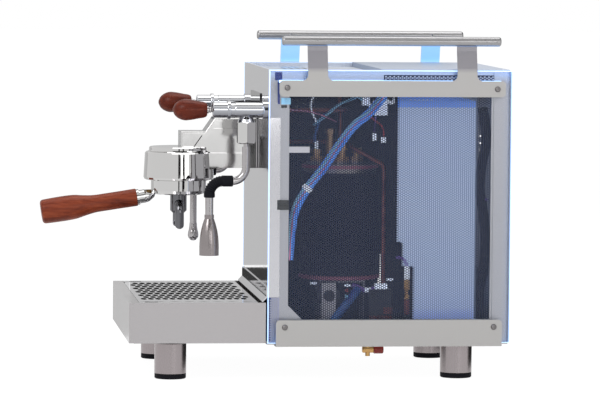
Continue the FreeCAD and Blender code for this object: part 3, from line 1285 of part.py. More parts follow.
def copper_pipes():
    """From the boilers to the two valves and the group, and the pump's line up to the lid."""
    x, y, top = BOILER_X[1], BOILER_Y[1], BOILER_Z[1][1] + 6
    xl, yl, top_l = BOILER_X[-1], BOILER_Y[-1], BOILER_Z[-1][1] + 6
    reach = BARREL_STUB_L
    spigot_z = (NECK_STEP_Z + NECK_TOP) / 2
    step = PIPE_BEND - 2
    bridge = TAP_Z + 2.2 * PIPE_BEND
    side_x = BOX_X[1] - PIPE_TO_WALL
    side_y = BOX_Y[1] - PIPE_BEND
    routes = [
        [V(x, y, top), V(x, y, TAP_Z), V(TAP_X, y, TAP_Z), V(TAP_X, reach, TAP_Z)],
        [V(x - step, y, top), V(x - step, y, bridge), V(-TAP_X, y, bridge),
         V(-TAP_X, y / 2 + step, bridge), V(-TAP_X, y / 2 - step, TAP_Z),
         V(-TAP_X, reach, TAP_Z)],
        [V(xl, yl, top_l), V(xl, yl, spigot_z), V(0, yl, spigot_z), V(0, SPIGOT_L, spigot_z)],
        [V(side_x, side_y, BOX_Z_TOP), V(side_x, side_y, top - step),
         V(side_x - 2 * step, y + 12, top + 2 * step), V(x + step, y + 3, top + 24),
         V(x + step, y + 3, top)],
    ]
    return group_of([swept(bent_path(points, PIPE_BEND), PIPE_R) for points in routes])


def wiring_loom():
    """Sleeved wiring, clipped to the right side frame at both ends."""
    x = FRAME_IN - LOOM_R - PLAY / 2
    return swept(bent_path([V(x - inward, y, z) for inward, y, z in LOOM_WAY]), LOOM_R)


# ================================================================== assembly
def pair(make):
    return group_of([make(s) for s in SIDES])


PARTS = {
    "base_plate": base_plate, "front_panel": front_panel, "back_panel": back_panel,
    "top_cover": top_cover, "tank_lid": tank_lid, "side_frames": side_frames,
    "side_screens": side_screens,
    "side_glass": lambda: pair(side_glass), "rail_brackets": lambda: pair(rail_bracket),
    "cup_rails": lambda: pair(cup_rail), "lower_trims": lambda: pair(lower_trim),
    "panel_screws": panel_screws, "light_strips": light_strips,
    "foot_sleeves": foot_sleeves, "foot_pads": foot_pads,
    "splash_plate": splash_plate, "drip_tray": drip_tray, "drip_grid": drip_grid,
    "group_neck": group_neck, "group_bell": group_bell, "lock_ring": lock_ring,
    "group_gasket": group_gasket, "shower_screen": shower_screen,
    "portafilter_body": portafilter_body, "portafilter_ferrule": portafilter_ferrule,
    "portafilter_handle": portafilter_handle, "portafilter_spout": portafilter_spout,
    "filter_basket": filter_basket, "basket_spring": basket_spring,
    "valve_bodies": lambda: pair(valve_body), "valve_caps": lambda: pair(valve_cap),
    "ball_nuts": lambda: pair(ball_nut),
    "water_nozzle": water_nozzle, "steam_tip": steam_tip,
    "touch_display": touch_display, "mains_inlet": mains_inlet, "power_rocker": power_rocker,
    "drain_valve": drain_valve, "drain_knob": drain_knob,
    "boilers": boilers, "boiler_jackets": boiler_jackets, "inner_brackets": inner_brackets,
    "pump": pump, "control_box": control_box, "water_tank": water_tank, "tank_cap": tank_cap,
    "copper_pipes": copper_pipes, "wiring_loom": wiring_loom,
}
for name, make in (("lever_gimbal", lever_gimbal), ("lever_stem", lever_stem),
                   ("lever_knob", lever_knob), ("wand_seat", wand_seat),
                   ("wand_pipe", wand_pipe), ("wand_grip", wand_grip)):
    PARTS[name + "_right"] = lambda make=make: make(1)
    PARTS[name + "_left"] = lambda make=make: make(-1)

# The footprint runs from the end of the portafilter's handle to the inlet's flange.
SHIFT_Y = -(GROUP_Y - HANDLE_REACH + BODY_L + INLET_FLANGE) / 2


def save(name, shape):
    moved = shape.copy()
    moved.translate(V(0, SHIFT_Y, 0))
    moved.exportStep(os.path.join("parts", name + ".step"))


def main():
    os.makedirs("parts", exist_ok=True)
    for name, make in PARTS.items():
        save(name, make())


main()
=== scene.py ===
"""Looks of the espresso machine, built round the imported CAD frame."""
import math

import bmesh
import bpy
from mathutils import Matrix, Vector


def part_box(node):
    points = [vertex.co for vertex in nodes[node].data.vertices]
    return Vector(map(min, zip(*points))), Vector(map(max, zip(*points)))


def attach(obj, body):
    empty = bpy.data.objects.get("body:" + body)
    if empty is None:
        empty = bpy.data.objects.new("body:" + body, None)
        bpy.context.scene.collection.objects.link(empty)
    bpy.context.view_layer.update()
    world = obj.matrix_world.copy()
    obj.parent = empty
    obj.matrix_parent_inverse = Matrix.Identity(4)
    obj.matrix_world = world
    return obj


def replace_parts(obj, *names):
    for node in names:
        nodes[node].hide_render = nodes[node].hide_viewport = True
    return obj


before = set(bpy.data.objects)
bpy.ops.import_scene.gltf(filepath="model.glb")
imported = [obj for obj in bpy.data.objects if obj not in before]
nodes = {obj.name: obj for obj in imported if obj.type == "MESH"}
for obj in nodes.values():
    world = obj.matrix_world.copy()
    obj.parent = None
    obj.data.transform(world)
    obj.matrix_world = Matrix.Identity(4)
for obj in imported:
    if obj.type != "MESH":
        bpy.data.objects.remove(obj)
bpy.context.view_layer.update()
MM = 0.001
DATUM_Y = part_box("side_glass")[0].y      # front end of the clear side panels
scene = bpy.context.scene
HANDS = {"right": 1, "left": -1}         # side of the machine and the sign of its x


def at(x, y, z):
    """A point given in millimetres from the front of the side panels, as the CAD source has it."""
    return Vector((x * MM, y * MM + DATUM_Y, z * MM))


# ------------------------------------------------------------------ camera
# In millimetres; the angles in radians.
SENSOR_WIDTH, LENS = 36.0, 234.81
CAMERA_DISTANCE = 5030.3
TURN = 0.110922             # from the right side towards the front
TILT = 0.064717             # down, from level
ROLL = 0.0080314
TARGET = at(0, 57.4, 215.7)


def add_camera():
    across = math.pi / 2 - TURN
    back = Vector((math.sin(across) * math.cos(TILT), -math.cos(across) * math.cos(TILT),
                   math.sin(TILT)))
    right = Vector((0, 0, 1)).cross(back).normalized()
    up = back.cross(right)
    x = right * math.cos(ROLL) + up * math.sin(ROLL)
    y = up * math.cos(ROLL) - right * math.sin(ROLL)
    data = bpy.data.cameras.new("camera")
    data.sensor_width = SENSOR_WIDTH
    data.lens = LENS
    data.clip_end = 50
    camera = bpy.data.objects.new("camera", data)
    scene.collection.objects.link(camera)
    turn = Matrix((x, y, back)).transposed().to_4x4()
    camera.matrix_world = Matrix.Translation(TARGET + back * CAMERA_DISTANCE * MM) @ turn
    scene.camera = camera


# ------------------------------------------------------------------ node helpers
def add_node(tree, kind, **settings):
    """A node with its inputs, and its own properties, set by name."""
    node = tree.nodes.new(kind)
    for key, value in settings.items():
        if key in node.inputs:
            node.inputs[key].default_value = value
        else:
            setattr(node, key, value)
    return node


class Shader:
    """A material with a Principled shader and short calls for the nodes that feed it."""

    def __init__(self, name, color, metallic=0.0, roughness=0.5, **sockets):
        self.material = bpy.data.materials.new("m_" + name)
        self.material.use_nodes = True
        self.tree = self.material.node_tree
        self.shader = self.tree.nodes["Principled BSDF"]
        self.set("Base Color", (*color, 1))
        self.set("Metallic", metallic)
        self.set("Roughness", roughness)
        for socket, value in sockets.items():
            self.set(socket.replace("_", " "), value)

    def set(self, socket, value):
        self.shader.inputs[socket].default_value = value

    def node(self, kind, **settings):
        return add_node(self.tree, kind, **settings)

    def link(self, source, target):
        if isinstance(target, str):
            target = self.shader.inputs[target]
        self.tree.links.new(source, target)

    def compute(self, operation, *values):
        """A Math node; each value is a socket or a number."""
        node = self.node("ShaderNodeMath", operation=operation)
        for socket, value in zip(node.inputs, values):
            if isinstance(value, (int, float)):
                socket.default_value = value
            else:
                self.link(value, socket)
        return node.outputs[0]

    def place(self, scale=(1, 1, 1)):
        """Object coordinates, stretched."""
        mapping = self.node("ShaderNodeMapping", Scale=scale)
        self.link(self.node("ShaderNodeTexCoord").outputs["Object"], mapping.inputs["Vector"])
        return mapping.outputs["Vector"]

    def parts(self, vector):
        """The vector's numbers, by the names X, Y and Z."""
        split = self.node("ShaderNodeSeparateXYZ")
        self.link(vector, split.inputs[0])
        return split.outputs

    def normal(self, kind="True Normal"):
        return self.parts(self.node("ShaderNodeNewGeometry").outputs[kind])

    def noise(self, vector, scale, detail=3.0, roughness=0.5, distortion=0.0):
        noise = self.node("ShaderNodeTexNoise", Scale=scale, Detail=detail, Roughness=roughness,
                          Distortion=distortion)
        self.link(vector, noise.inputs["Vector"])
        return noise.outputs["Fac"]

    def ramp(self, value, *stops):
        ramp = self.node("ShaderNodeValToRGB")
        elements = ramp.color_ramp.elements
        while len(elements) < len(stops):
            elements.new(0.5)
        for element, (position, color) in zip(elements, stops):
            element.position = position
            element.color = (*color, 1)
        self.link(value, ramp.inputs["Fac"])
        return ramp.outputs["Color"]

    def spread(self, value, **limits):
        node = self.node("ShaderNodeMapRange")
        for name, limit in limits.items():
            node.inputs[name.replace("_", " ")].default_value = limit
        self.link(value, node.inputs["Value"])
        return node.outputs["Result"]

    def span(self, value, low, high):
        """value from 0..1 to low..high."""
        return self.spread(value, To_Min=low, To_Max=high)

    def reach(self, value, low, high):
        """value from low..high to 0..1."""
        return self.spread(value, From_Min=low, From_Max=high)

    def tint(self, axis, low, high, *stops):
        """Base colour that changes along an axis of the frame, from low to high in metres."""
        self.link(self.ramp(self.reach(self.parts(self.place())[axis], low, high), *stops),
                  "Base Color")

    def glow(self, color, strength):
        self.set("Emission Color", (*color, 1))
        self.set("Emission Strength", strength)

    def glow_under(self, axis, color, strength):
        """Painted blue light, an emission, on the faces that look down (Z) or towards the
        machine's middle (X).
        """
        normal = self.normal()
        if axis == "X":
            place = self.parts(self.place())
            inward = self.compute("MULTIPLY", self.compute("SIGN", place["X"]), normal["X"])
            facing = self.compute("MULTIPLY", self.reach(inward, -0.5, -0.8),
                                  self.reach(place["Z"], *TAB_GLOW_Z))
        else:
            facing = self.reach(normal["Z"], -0.75, -1.0)
        self.set("Emission Color", (*color, 1))
        self.link(self.span(facing, 0.0, strength), "Emission Strength")

    def bump(self, value, strength, distance):
        bump = self.node("ShaderNodeBump", Strength=strength, Distance=distance)
        self.link(value, bump.inputs["Height"])
        self.link(bump.outputs["Normal"], "Normal")


# ------------------------------------------------------------------ finishes
# Heights in metres above the floor.
TAB_GLOW_Z = (0.386, 0.390)     # from here up the brackets' tabs get painted blue light
TAB_SHADE_Z = (0.380, 0.396)    # and painted shade darkens their outer faces
TOP_STRIP_Z = (0.368, 0.386)    # the side frames' painted blue light grows towards the top strip
FITTINGS_Z = (0.266, 0.276)     # the boilers' steel ends and their brass fittings begin
TANK_Z = (0.070, 0.350)
TANK_LIGHT_TOP = 0.366          # painted light from the tank on the screen reaches up to here
TANK_STEPS = ((0.172, 0.0072), (0.142, 0.0139))     # height and depth of its front's steps
TANK_FRONT, TANK_REAR = (corner.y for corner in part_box("water_tank"))

FINISHES = {}

# Colour, metallic, roughness without its clouds, the clouds' scale and the roughness they
# span; then the colour and strength of painted light, an emission for the light it takes from the
# strips, if any.
PLAIN = {
    "chrome": ((0.56, 0.555, 0.55), 1.0, 0.5, 45.0, (0.02, 0.07)),
    # chrome darkened with painted shade, for the portafilter's spout
    "chrome_painted_shade": ((0.14, 0.14, 0.15), 1.0, 0.5, 45.0, (0.03, 0.09)),
    "black_gloss": ((0.008, 0.008, 0.010), 0.0, 0.06, 30.0, (0.04, 0.1)),
    "black_plastic": ((0.02, 0.02, 0.022), 0.0, 0.5, 700.0, (0.42, 0.62)),
    "brass": ((0.55, 0.33, 0.13), 1.0, 0.3, 200.0, (0.2, 0.4)),
    "red_plastic": ((0.35, 0.03, 0.02), 0.0, 0.4, 300.0, (0.35, 0.5)),
    "screw_steel": ((0.20, 0.19, 0.19), 1.0, 0.35, 600.0, (0.28, 0.42)),
    "cyan_wire": ((0.30, 0.62, 0.85), 0.0, 0.4, 500.0, (0.32, 0.5)),
    "pink_wire": ((0.60, 0.24, 0.38), 0.0, 0.4, 500.0, (0.32, 0.5)),
    "violet_wire": ((0.16, 0.08, 0.38), 0.0, 0.4, 500.0, (0.32, 0.5)),
    "red_wire": ((0.45, 0.03, 0.02), 0.0, 0.4, 500.0, (0.32, 0.5)),
    # these four glow with painted light, though none of them is a lamp
    "screen_corner": ((0.014, 0.020, 0.09), 0.3, 0.5, 300.0, (0.38, 0.52),
                      (0.05, 0.12, 0.8), 0.12),
    "jacket_band": ((0.33, 0.12, 0.17), 0.2, 0.45, 240.0, (0.36, 0.55),
                    (0.7, 0.20, 0.34), 0.045),
    "tank_blue": ((0.06, 0.20, 0.7), 0.0, 0.45, 200.0, (0.4, 0.5), (0.06, 0.26, 1.0), 0.3),
    "white_plastic": ((0.72, 0.75, 0.82), 0.0, 0.4, 400.0, (0.34, 0.5), (0.75, 0.85, 1.0), 0.35),
}

# Colour, scale of the scratches along X, Y and Z, roughness and bump; then metallic.
BRUSHED = {
    "satin_steel": ((0.43, 0.425, 0.425), (10, 14, 900), (0.34, 0.46), 0.05),
    "cover_steel": ((0.55, 0.59, 0.67), (10, 14, 900), (0.34, 0.46), 0.05),
    # the cover's steel darkened with painted shade, for the tank lid
    "lid_steel_painted_shade": ((0.41, 0.46, 0.56), (10, 14, 900), (0.34, 0.46), 0.05),
    "tray_steel": ((0.42, 0.405, 0.41), (10, 14, 900), (0.16, 0.24), 0.03),
    "satin_trim": ((0.42, 0.41, 0.40), (600, 12, 700), (0.42, 0.52), 0.04, 0.6),
    "brushed_upright": ((0.33, 0.295, 0.30), (900, 900, 9), (0.2, 0.34), 0.1),
    "brushed_nozzle": ((0.27, 0.245, 0.245), (900, 900, 9), (0.16, 0.28), 0.1),
    "brushed_pipe": ((0.40, 0.385, 0.39), (500, 500, 500), (0.12, 0.24), 0.05),
    "bracket_steel": ((0.42, 0.42, 0.46), (80, 80, 80), (0.35, 0.55), 0.05),
}


def finish(function):
    """Keep a finish under its function's name; made once, when it is first asked for."""
    FINISHES[function.__name__] = function
    return function


def material(name):
    found = bpy.data.materials.get("m_" + name)
    if found:
        return found
    if name in PLAIN:
        return plain(name, *PLAIN[name]).material
    if name in BRUSHED:
        return brushed(name, *BRUSHED[name]).material
    return FINISHES[name]().material


def plain(name, color, metallic, flat, scale, roughness, light=None, strength=0.0):
    s = Shader(name, color, metallic, flat)
    s.link(s.span(s.noise(s.place(), scale), *roughness), "Roughness")
    # painted light: an emission on a part that is no lamp
    if light:
        s.glow(light, strength)
    return s


def brushed(name, color, scale, roughness, bump, metallic=1.0):
    """Metal with fine scratches along the direction whose scale is smallest."""
    s = Shader(name, color, metallic)
    grain = s.noise(s.place(scale), 1.0, 4.0, 0.6)
    s.link(s.span(grain, *roughness), "Roughness")
    s.bump(grain, bump, 0.0001)
    return s


@finish
def chrome_cast():
    """Chromed casting: bright faces, and painted shade darkening the walls where its sides are
    sunk.
    """
    s = Shader("chrome_cast", (0.56, 0.555, 0.55), 1.0)
    s.link(s.ramp(s.compute("ABSOLUTE", s.normal()["X"]), (0.0, (0.20, 0.20, 0.205)),
                  (0.12, (0.30, 0.30, 0.30)), (0.5, (0.58, 0.575, 0.57))), "Base Color")
    s.link(s.span(s.noise(s.place(), 60.0), 0.05, 0.12), "Roughness")
    return s


@finish
def chrome_round():
    """Chrome of the tap barrels: painted highlight above, painted shade greying it towards the
    underside.
    """
    s = Shader("chrome_round", (0.5, 0.505, 0.52), 1.0)
    s.link(s.ramp(s.reach(s.normal("Normal")["Z"], -1.0, 1.0), (0.1, (0.20, 0.20, 0.22)),
                  (0.42, (0.36, 0.37, 0.40)), (0.62, (0.46, 0.47, 0.50)),
                  (0.95, (0.66, 0.66, 0.67))), "Base Color")
    s.link(s.span(s.noise(s.place(), 45.0), 0.03, 0.09), "Roughness")
    return s


@finish
def polished_steel():
    s = Shader("polished_steel", (0.55, 0.545, 0.57), 1.0)
    s.link(s.span(s.noise(s.place((900, 900, 12)), 1.0), 0.05, 0.12), "Roughness")
    return s


@finish
def frame_steel():
    """Side frames, a little blue with painted light from the light strips, most of all under the
    top strip.
    """
    s = brushed("frame_steel", (0.33, 0.335, 0.365), (10, 14, 900), (0.34, 0.46), 0.05)
    s.tint("Z", *TOP_STRIP_Z, (0.2, (0.33, 0.335, 0.365)), (0.8, (0.36, 0.44, 0.62)))
    return s


@finish
def rubber():
    s = Shader("rubber", (0.007, 0.007, 0.010), 0.0, 0.62, Specular_IOR_Level=0.1)
    grain = s.noise(s.place(), 900.0, 2.0)
    s.link(s.span(grain, 0.5, 0.75), "Roughness")
    s.bump(grain, 0.2, 0.0002)
    return s


def oiled_wood(name, *stops):
    s = Shader(name, stops[1][1], 0.0, 0.35, Specular_IOR_Level=0.18)
    grain = s.noise(s.place((150, 14, 150)), 1.0, 6.0, 0.65, 0.6)
    streak = s.noise(s.place((900, 40, 900)), 1.0)
    s.link(s.ramp(s.compute("MULTIPLY_ADD", streak, 0.35, grain), *stops), "Base Color")
    s.link(s.span(grain, 0.28, 0.42), "Roughness")
    s.bump(streak, 0.12, 0.0003)
    return s


@finish
def wood():
    return oiled_wood("wood", (0.35, (0.045, 0.007, 0.003)), (0.55, (0.15, 0.024, 0.009)),
                      (0.72, (0.23, 0.042, 0.015)), (0.95, (0.31, 0.072, 0.028)))


@finish
def wood_dark():
    return oiled_wood("wood_dark", (0.35, (0.030, 0.004, 0.002)), (0.55, (0.085, 0.011, 0.004)),
                      (0.72, (0.13, 0.019, 0.007)), (0.95, (0.18, 0.036, 0.014)))


@finish
def screen_paint():
    """Near black; in front of the lit tank its webs get painted light from the tank in their
    colour.
    """
    s = Shader("screen_paint", (0.008, 0.009, 0.034), 0.0, 0.5, Specular_IOR_Level=0.25)
    s.set("Specular Tint", (0.6, 0.7, 1.0, 1))
    place = s.parts(s.place())
    depth = place["Y"]
    for z, step in TANK_STEPS:
        depth = s.compute("MULTIPLY_ADD", s.reach(place["Z"], z + MM, z - MM), -step, depth)
    over = s.reach(depth, TANK_FRONT - MM, TANK_FRONT + MM)
    for limit, axis in ((TANK_REAR, "Y"), (TANK_LIGHT_TOP, "Z")):
        over = s.compute("MULTIPLY", over, s.reach(place[axis], limit + MM, limit - MM))
    s.link(s.ramp(over, (0.0, (0.012, 0.015, 0.042)), (1.0, (0.17, 0.22, 0.35))),
           "Base Color")
    s.link(s.span(s.noise(s.place(), 300.0), 0.38, 0.52), "Roughness")
    return s


@finish
def screen_low():
    """The screen's lower front corner: deep blue along its edge, then like the frame."""
    s = Shader("screen_low", (0.31, 0.31, 0.38), 0.3, 0.5)
    front, rear = (DATUM_Y + y * MM for y in CORNER_FIELD[:2])
    s.tint("Y", front, rear, (0.19, (0.012, 0.022, 0.14)), (0.28, (0.31, 0.31, 0.38)))
    # painted blue glow, an emission over the whole corner piece
    s.glow((0.05, 0.12, 0.8), 0.05)
    return s


@finish
def boiler_steel():
    """Steel shell, with the brass of the fittings above its lid."""
    s = brushed("boiler_steel", (0.35, 0.33, 0.33), (300, 300, 20), (0.3, 0.5), 0.1)
    s.tint("Z", *FITTINGS_Z, (0.2, (0.35, 0.33, 0.33)), (0.8, (0.62, 0.40, 0.20)))
    return s


@finish
def jacket():
    s = Shader("jacket", (0.009, 0.009, 0.018), 0.0, 0.75, Specular_IOR_Level=0.08)
    s.bump(s.noise(s.place(), 260.0, 4.0), 0.5, 0.001)
    return s


@finish
def copper():
    s = Shader("copper", (0.45, 0.16, 0.10), 1.0, 0.32)
    age = s.noise(s.place(), 90.0, 4.0)
    s.link(s.ramp(age, (0.3, (0.13, 0.04, 0.035)), (0.7, (0.30, 0.10, 0.075))), "Base Color")
    s.link(s.span(age, 0.25, 0.45), "Roughness")
    return s


@finish
def tank():
    """Milky plastic, deeper blue towards the bottom: painted blue light where the light comes
    through the water, with a painted glow all over.
    """
    s = Shader("tank", (0.36, 0.48, 0.66), 0.0, 0.45)
    cloud = s.noise(s.place(), 22.0, 4.0)
    level = s.compute("MULTIPLY_ADD", cloud, 0.008, s.parts(s.place())["Z"])
    s.link(s.ramp(s.reach(level, *TANK_Z),
                  (0.0, (0.02, 0.06, 0.42)), (0.045, (0.06, 0.14, 0.60)),
                  (0.085, (0.26, 0.32, 0.50)), (0.2, (0.32, 0.38, 0.48)),
                  (0.5, (0.36, 0.41, 0.48)), (1.0, (0.32, 0.38, 0.50))), "Base Color")
    s.glow((0.55, 0.68, 1.0), 0.24)
    return s


@finish
def loom():
    s = Shader("loom", (0.1, 0.25, 0.6), 0.0, 0.25)
    wires = s.noise(s.place((500, 40, 40)), 1.0, 2.0)
    s.link(s.ramp(wires, (0.3, (0.02, 0.08, 0.45)), (0.5, (0.06, 0.28, 0.80)),
                  (0.7, (0.22, 0.50, 0.90))), "Base Color")
    # painted blue glow: an emission, though the loom is no lamp
    s.glow((0.10, 0.28, 1.0), 0.42)
    return s


@finish
def mat():
    s = Shader("mat", (0.007, 0.007, 0.014), 0.0, 0.8, Specular_IOR_Level=0.08)
    s.bump(s.noise(s.place(), 500.0), 0.4, 0.0006)
    return s


@finish
def bracket_trim():
    """Side brackets: painted blue light, an emission, on the tabs' inner faces for the light from
    the panels' top edges; painted shade darkens the tabs' upper part.
    """
    s = brushed("bracket_trim", (0.42, 0.41, 0.40), (600, 12, 700), (0.42, 0.52), 0.04, 0.6)
    s.tint("Z", *TAB_SHADE_Z, (0.3, (0.41, 0.40, 0.39)), (0.7, (0.28, 0.27, 0.29)))
    s.glow_under("X", (0.20, 0.55, 1.0), 0.9)
    return s


@finish
def rail_steel():
    s = brushed("rail_steel", (0.34, 0.335, 0.34), (900, 9, 900), (0.22, 0.34), 0.06)
    # painted blue light, an emission, on the rails' undersides
    s.glow_under("Z", (0.10, 0.40, 1.0), 0.5)
    return s


@finish
def blue_rubber():
    s = Shader("blue_rubber", (0.03, 0.11, 0.42), 0.0, 0.35)
    s.link(s.ramp(s.noise(s.place(), 60.0), (0.35, (0.02, 0.06, 0.32)),
                  (0.7, (0.05, 0.22, 0.55))), "Base Color")
    return s


@finish
def light():
    s = Shader("light", (0.5, 0.75, 1.0), 0.0, 0.4)
    s.glow((0.35, 0.6, 1.0), 3.0)
    return s


@finish
def clear_acrylic():
    """Almost clear across the panel; its cut edges glow with painted light, an emission for the
    light they carry.
    """
    s = Shader("clear_acrylic", (0.75, 0.86, 1.0), 0.0, 0.04)
    edge = s.compute("LESS_THAN", s.compute("ABSOLUTE", s.normal()["X"]), 0.98)
    s.link(s.span(edge, 0.015, 0.9), "Alpha")
    s.set("Emission Color", (0.25, 0.5, 1.0, 1))
    s.link(s.span(edge, 0.0, 1.0), "Emission Strength")
    return s


NODE_FINISH = {
    "base_plate": "satin_steel", "front_panel": "polished_steel", "back_panel": "frame_steel",
    "top_cover": "cover_steel", "tank_lid": "lid_steel_painted_shade", "side_frames": "frame_steel",
    "side_screens": "screen_paint", "side_glass": "clear_acrylic",
    "rail_brackets": "bracket_trim", "cup_rails": "rail_steel", "lower_trims": "satin_trim",
    "panel_screws": "screw_steel", "light_strips": "light", "foot_sleeves": "brushed_upright",
    "foot_pads": "rubber", "splash_plate": "polished_steel", "drip_tray": "tray_steel",
    "drip_grid": "polished_steel", "group_neck": "chrome_cast", "group_bell": "chrome",
    "lock_ring": "brass", "group_gasket": "rubber", "shower_screen": "brushed_pipe",
    "portafilter_body": "chrome", "portafilter_ferrule": "chrome", "portafilter_handle": "wood",
    "portafilter_spout": "chrome_painted_shade", "filter_basket": "brushed_pipe",
    "basket_spring": "brushed_pipe", "valve_bodies": "chrome_round", "valve_caps": "chrome_round",
    "ball_nuts": "chrome", "water_nozzle": "brushed_nozzle", "steam_tip": "brushed_pipe",
    "touch_display": "black_gloss", "mains_inlet": "black_plastic",
    "power_rocker": "black_gloss", "drain_valve": "brass", "drain_knob": "red_plastic",
    "boilers": "boiler_steel", "boiler_jackets": "jacket", "inner_brackets": "bracket_steel",
    "pump": "black_plastic", "control_box": "black_plastic", "water_tank": "tank",
    "tank_cap": "tank_blue", "copper_pipes": "copper", "wiring_loom": "loom",
}
for hand in HANDS:
    NODE_FINISH["lever_gimbal_" + hand] = "brass"
    NODE_FINISH["lever_stem_" + hand] = "brushed_pipe"
    NODE_FINISH["lever_knob_" + hand] = "wood_dark"
    NODE_FINISH["wand_seat_" + hand] = "brass"
    NODE_FINISH["wand_pipe_" + hand] = "brushed_pipe"
    NODE_FINISH["wand_grip_" + hand] = "rubber"


def dress_nodes():
    for name, node in nodes.items():
        node.data.materials.clear()
        node.data.materials.append(material(NODE_FINISH[name]))


# ------------------------------------------------------------------ piece helpers
SHARP_EDGE = math.radians(40)


def place_piece(name, mesh, look, body="chassis"):
    """An object of the mesh, with its finish, that rides one of the frame's bodies."""
    mesh.materials.append(material(look))
    piece = bpy.data.objects.new(name, mesh)
    scene.collection.objects.link(piece)
    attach(piece, body)
    return piece


def add_piece(name, points, faces, look, body="chassis", slot=None, smooth=True):
    mesh = bpy.data.meshes.new(name)
    mesh.from_pydata([at(*point) for point in points], [], faces)
    mesh.polygons.foreach_set("use_smooth", [smooth] * len(mesh.polygons))
    return place_piece(name, mesh, look, body)


def curve_through(points, steps=8):
    """A smooth line through the points, steps to each span."""
    points = [Vector(point) for point in points]
    ends = [2 * points[0] - points[1]] + points + [2 * points[-1] - points[-2]]
    line = []
    for a, b, c, d in zip(ends, ends[1:], ends[2:], ends[3:]):
        for k in range(steps):
            t = k / steps
            line.append(0.5 * (2 * b + (c - a) * t + (2 * a - 5 * b + 4 * c - d) * t * t
                               + (3 * b - a - 3 * c + d) * t ** 3))
    return line + [points[-1]]


def circle(sides):
    """Cosine and sine of each corner of a round ring."""
    turns = [2 * math.pi * j / sides for j in range(sides)]
    return [(math.cos(a), math.sin(a)) for a in turns]


def skin(rings, sides):
    """Faces of a skin over the rings of points, closed at both ends."""
    faces = []
    for k in range(rings - 1):
        for j in range(sides):
            a, b = k * sides + j, k * sides + (j + 1) % sides
            faces.append((a, b, b + sides, a + sides))
    last = (rings - 1) * sides
    faces.append(tuple(range(sides - 1, -1, -1)))
    faces.append(tuple(range(last, last + sides)))
    return faces


def tube_mesh(line, radius, sides=10):
    """Points and faces of a closed tube round the line; radius is a number or a function of
    the share of the length."""
    points = []
    side = None
    for k, centre in enumerate(line):
        ahead = (line[min(k + 1, len(line) - 1)] - line[max(k - 1, 0)]).normalized()
        if side is None:
            side = ahead.orthogonal().normalized()
        side = (side - ahead * side.dot(ahead)).normalized()
        up = ahead.cross(side)
        r = radius(k / (len(line) - 1)) if callable(radius) else radius
        points += [centre + (side * c + up * s) * r for c, s in circle(sides)]
    return points, skin(len(line), sides)


def add_tube(name, points, radius, look, sides=10):
    add_piece(name, *tube_mesh(curve_through(points), radius, sides), look)


def add_turned(name, x, y, outline, look, sides=20):
    """A turned piece on an upright axis; outline runs from the bottom to the top as (r, z)."""
    points = [(x + r * c, y + r * s, z) for r, z in outline for c, s in circle(sides)]
    piece = add_piece(name, points, skin(len(outline), sides), look)
    piece.data.set_sharp_from_angle(angle=SHARP_EDGE)


def add_collar(name, x, z, outline, look, sides=48):
    """A turned ring on an axis along Y; outline is (radius, y), closed."""
    points = [(x + r * c, y, z + r * s) for r, y in outline for c, s in circle(sides)]
    faces = []
    count = len(outline)
    for k in range(count):
        n = (k + 1) % count
        for j in range(sides):
            m = (j + 1) % sides
            faces.append((k * sides + j, k * sides + m, n * sides + m, n * sides + j))
    piece = add_piece(name, points, faces, look)
    piece.data.set_sharp_from_angle(angle=SHARP_EDGE)


HOUSING_EDGE = 0.5          # bevel, less on a small cell
HOUSING_GAP = 0.35          # between cells
HOUSING_BACK = 0.35         # share of the depth that the plain back takes
CELL_START = 0.36           # and where its cells begin
SOCKET_RIM, SOCKET_SLOPE = 0.16, 0.04       # shares of a cell's smallest side
SOCKET_DEPTH = 0.3          # share of a cell's depth


def add_housing(name, low, high, look, rows=1, columns=1):
    """A moulded connector: bevelled cells side by side, each with a socket facing +X."""
    bm = bmesh.new()
    (x0, y0, z0), (x1, y1, z1) = low, high
    gap = HOUSING_GAP
    cells = [((x0, x0 + HOUSING_BACK * (x1 - x0)), (y0 + gap, y1 - gap),
              (z0 + gap, z1 - gap), False)]
    for i in range(columns):
        for j in range(rows):
            ya = y0 + (y1 - y0) * i / columns
            za = z0 + (z1 - z0) * j / rows
            cells.append(((x0 + CELL_START * (x1 - x0), x1),
                          (ya + gap / 2, ya + (y1 - y0) / columns - gap / 2),
                          (za + gap / 2, za + (z1 - z0) / rows - gap / 2), True))
    for xs, ys, zs, socket in cells:
        made = bmesh.ops.create_cube(bm, size=1)["verts"]
        for v in made:
            v.co = at((xs[0] + xs[1]) / 2 + v.co.x * (xs[1] - xs[0]),
                      (ys[0] + ys[1]) / 2 + v.co.y * (ys[1] - ys[0]),
                      (zs[0] + zs[1]) / 2 + v.co.z * (zs[1] - zs[0]))
        edges = list(dict.fromkeys(e for v in made for e in v.link_edges))
        size = min(xs[1] - xs[0], ys[1] - ys[0], zs[1] - zs[0])
        bmesh.ops.bevel(bm, geom=edges, offset=min(HOUSING_EDGE, 0.2 * size) * MM, segments=2,
                        affect="EDGES", profile=0.5)
        if socket:
            middle = at(xs[1], (ys[0] + ys[1]) / 2, (zs[0] + zs[1]) / 2)
            front = min(bm.faces, key=lambda f: (f.calc_center_median() - middle).length)
            for share in (SOCKET_RIM, SOCKET_SLOPE):
                bmesh.ops.inset_region(bm, faces=[front], thickness=share * size * MM)
            for v in front.verts:
                v.co.x -= SOCKET_DEPTH * (xs[1] - xs[0]) * MM
    mesh = bpy.data.meshes.new(name)
    bm.to_mesh(mesh)
    bm.free()
    place_piece(name, mesh, look)


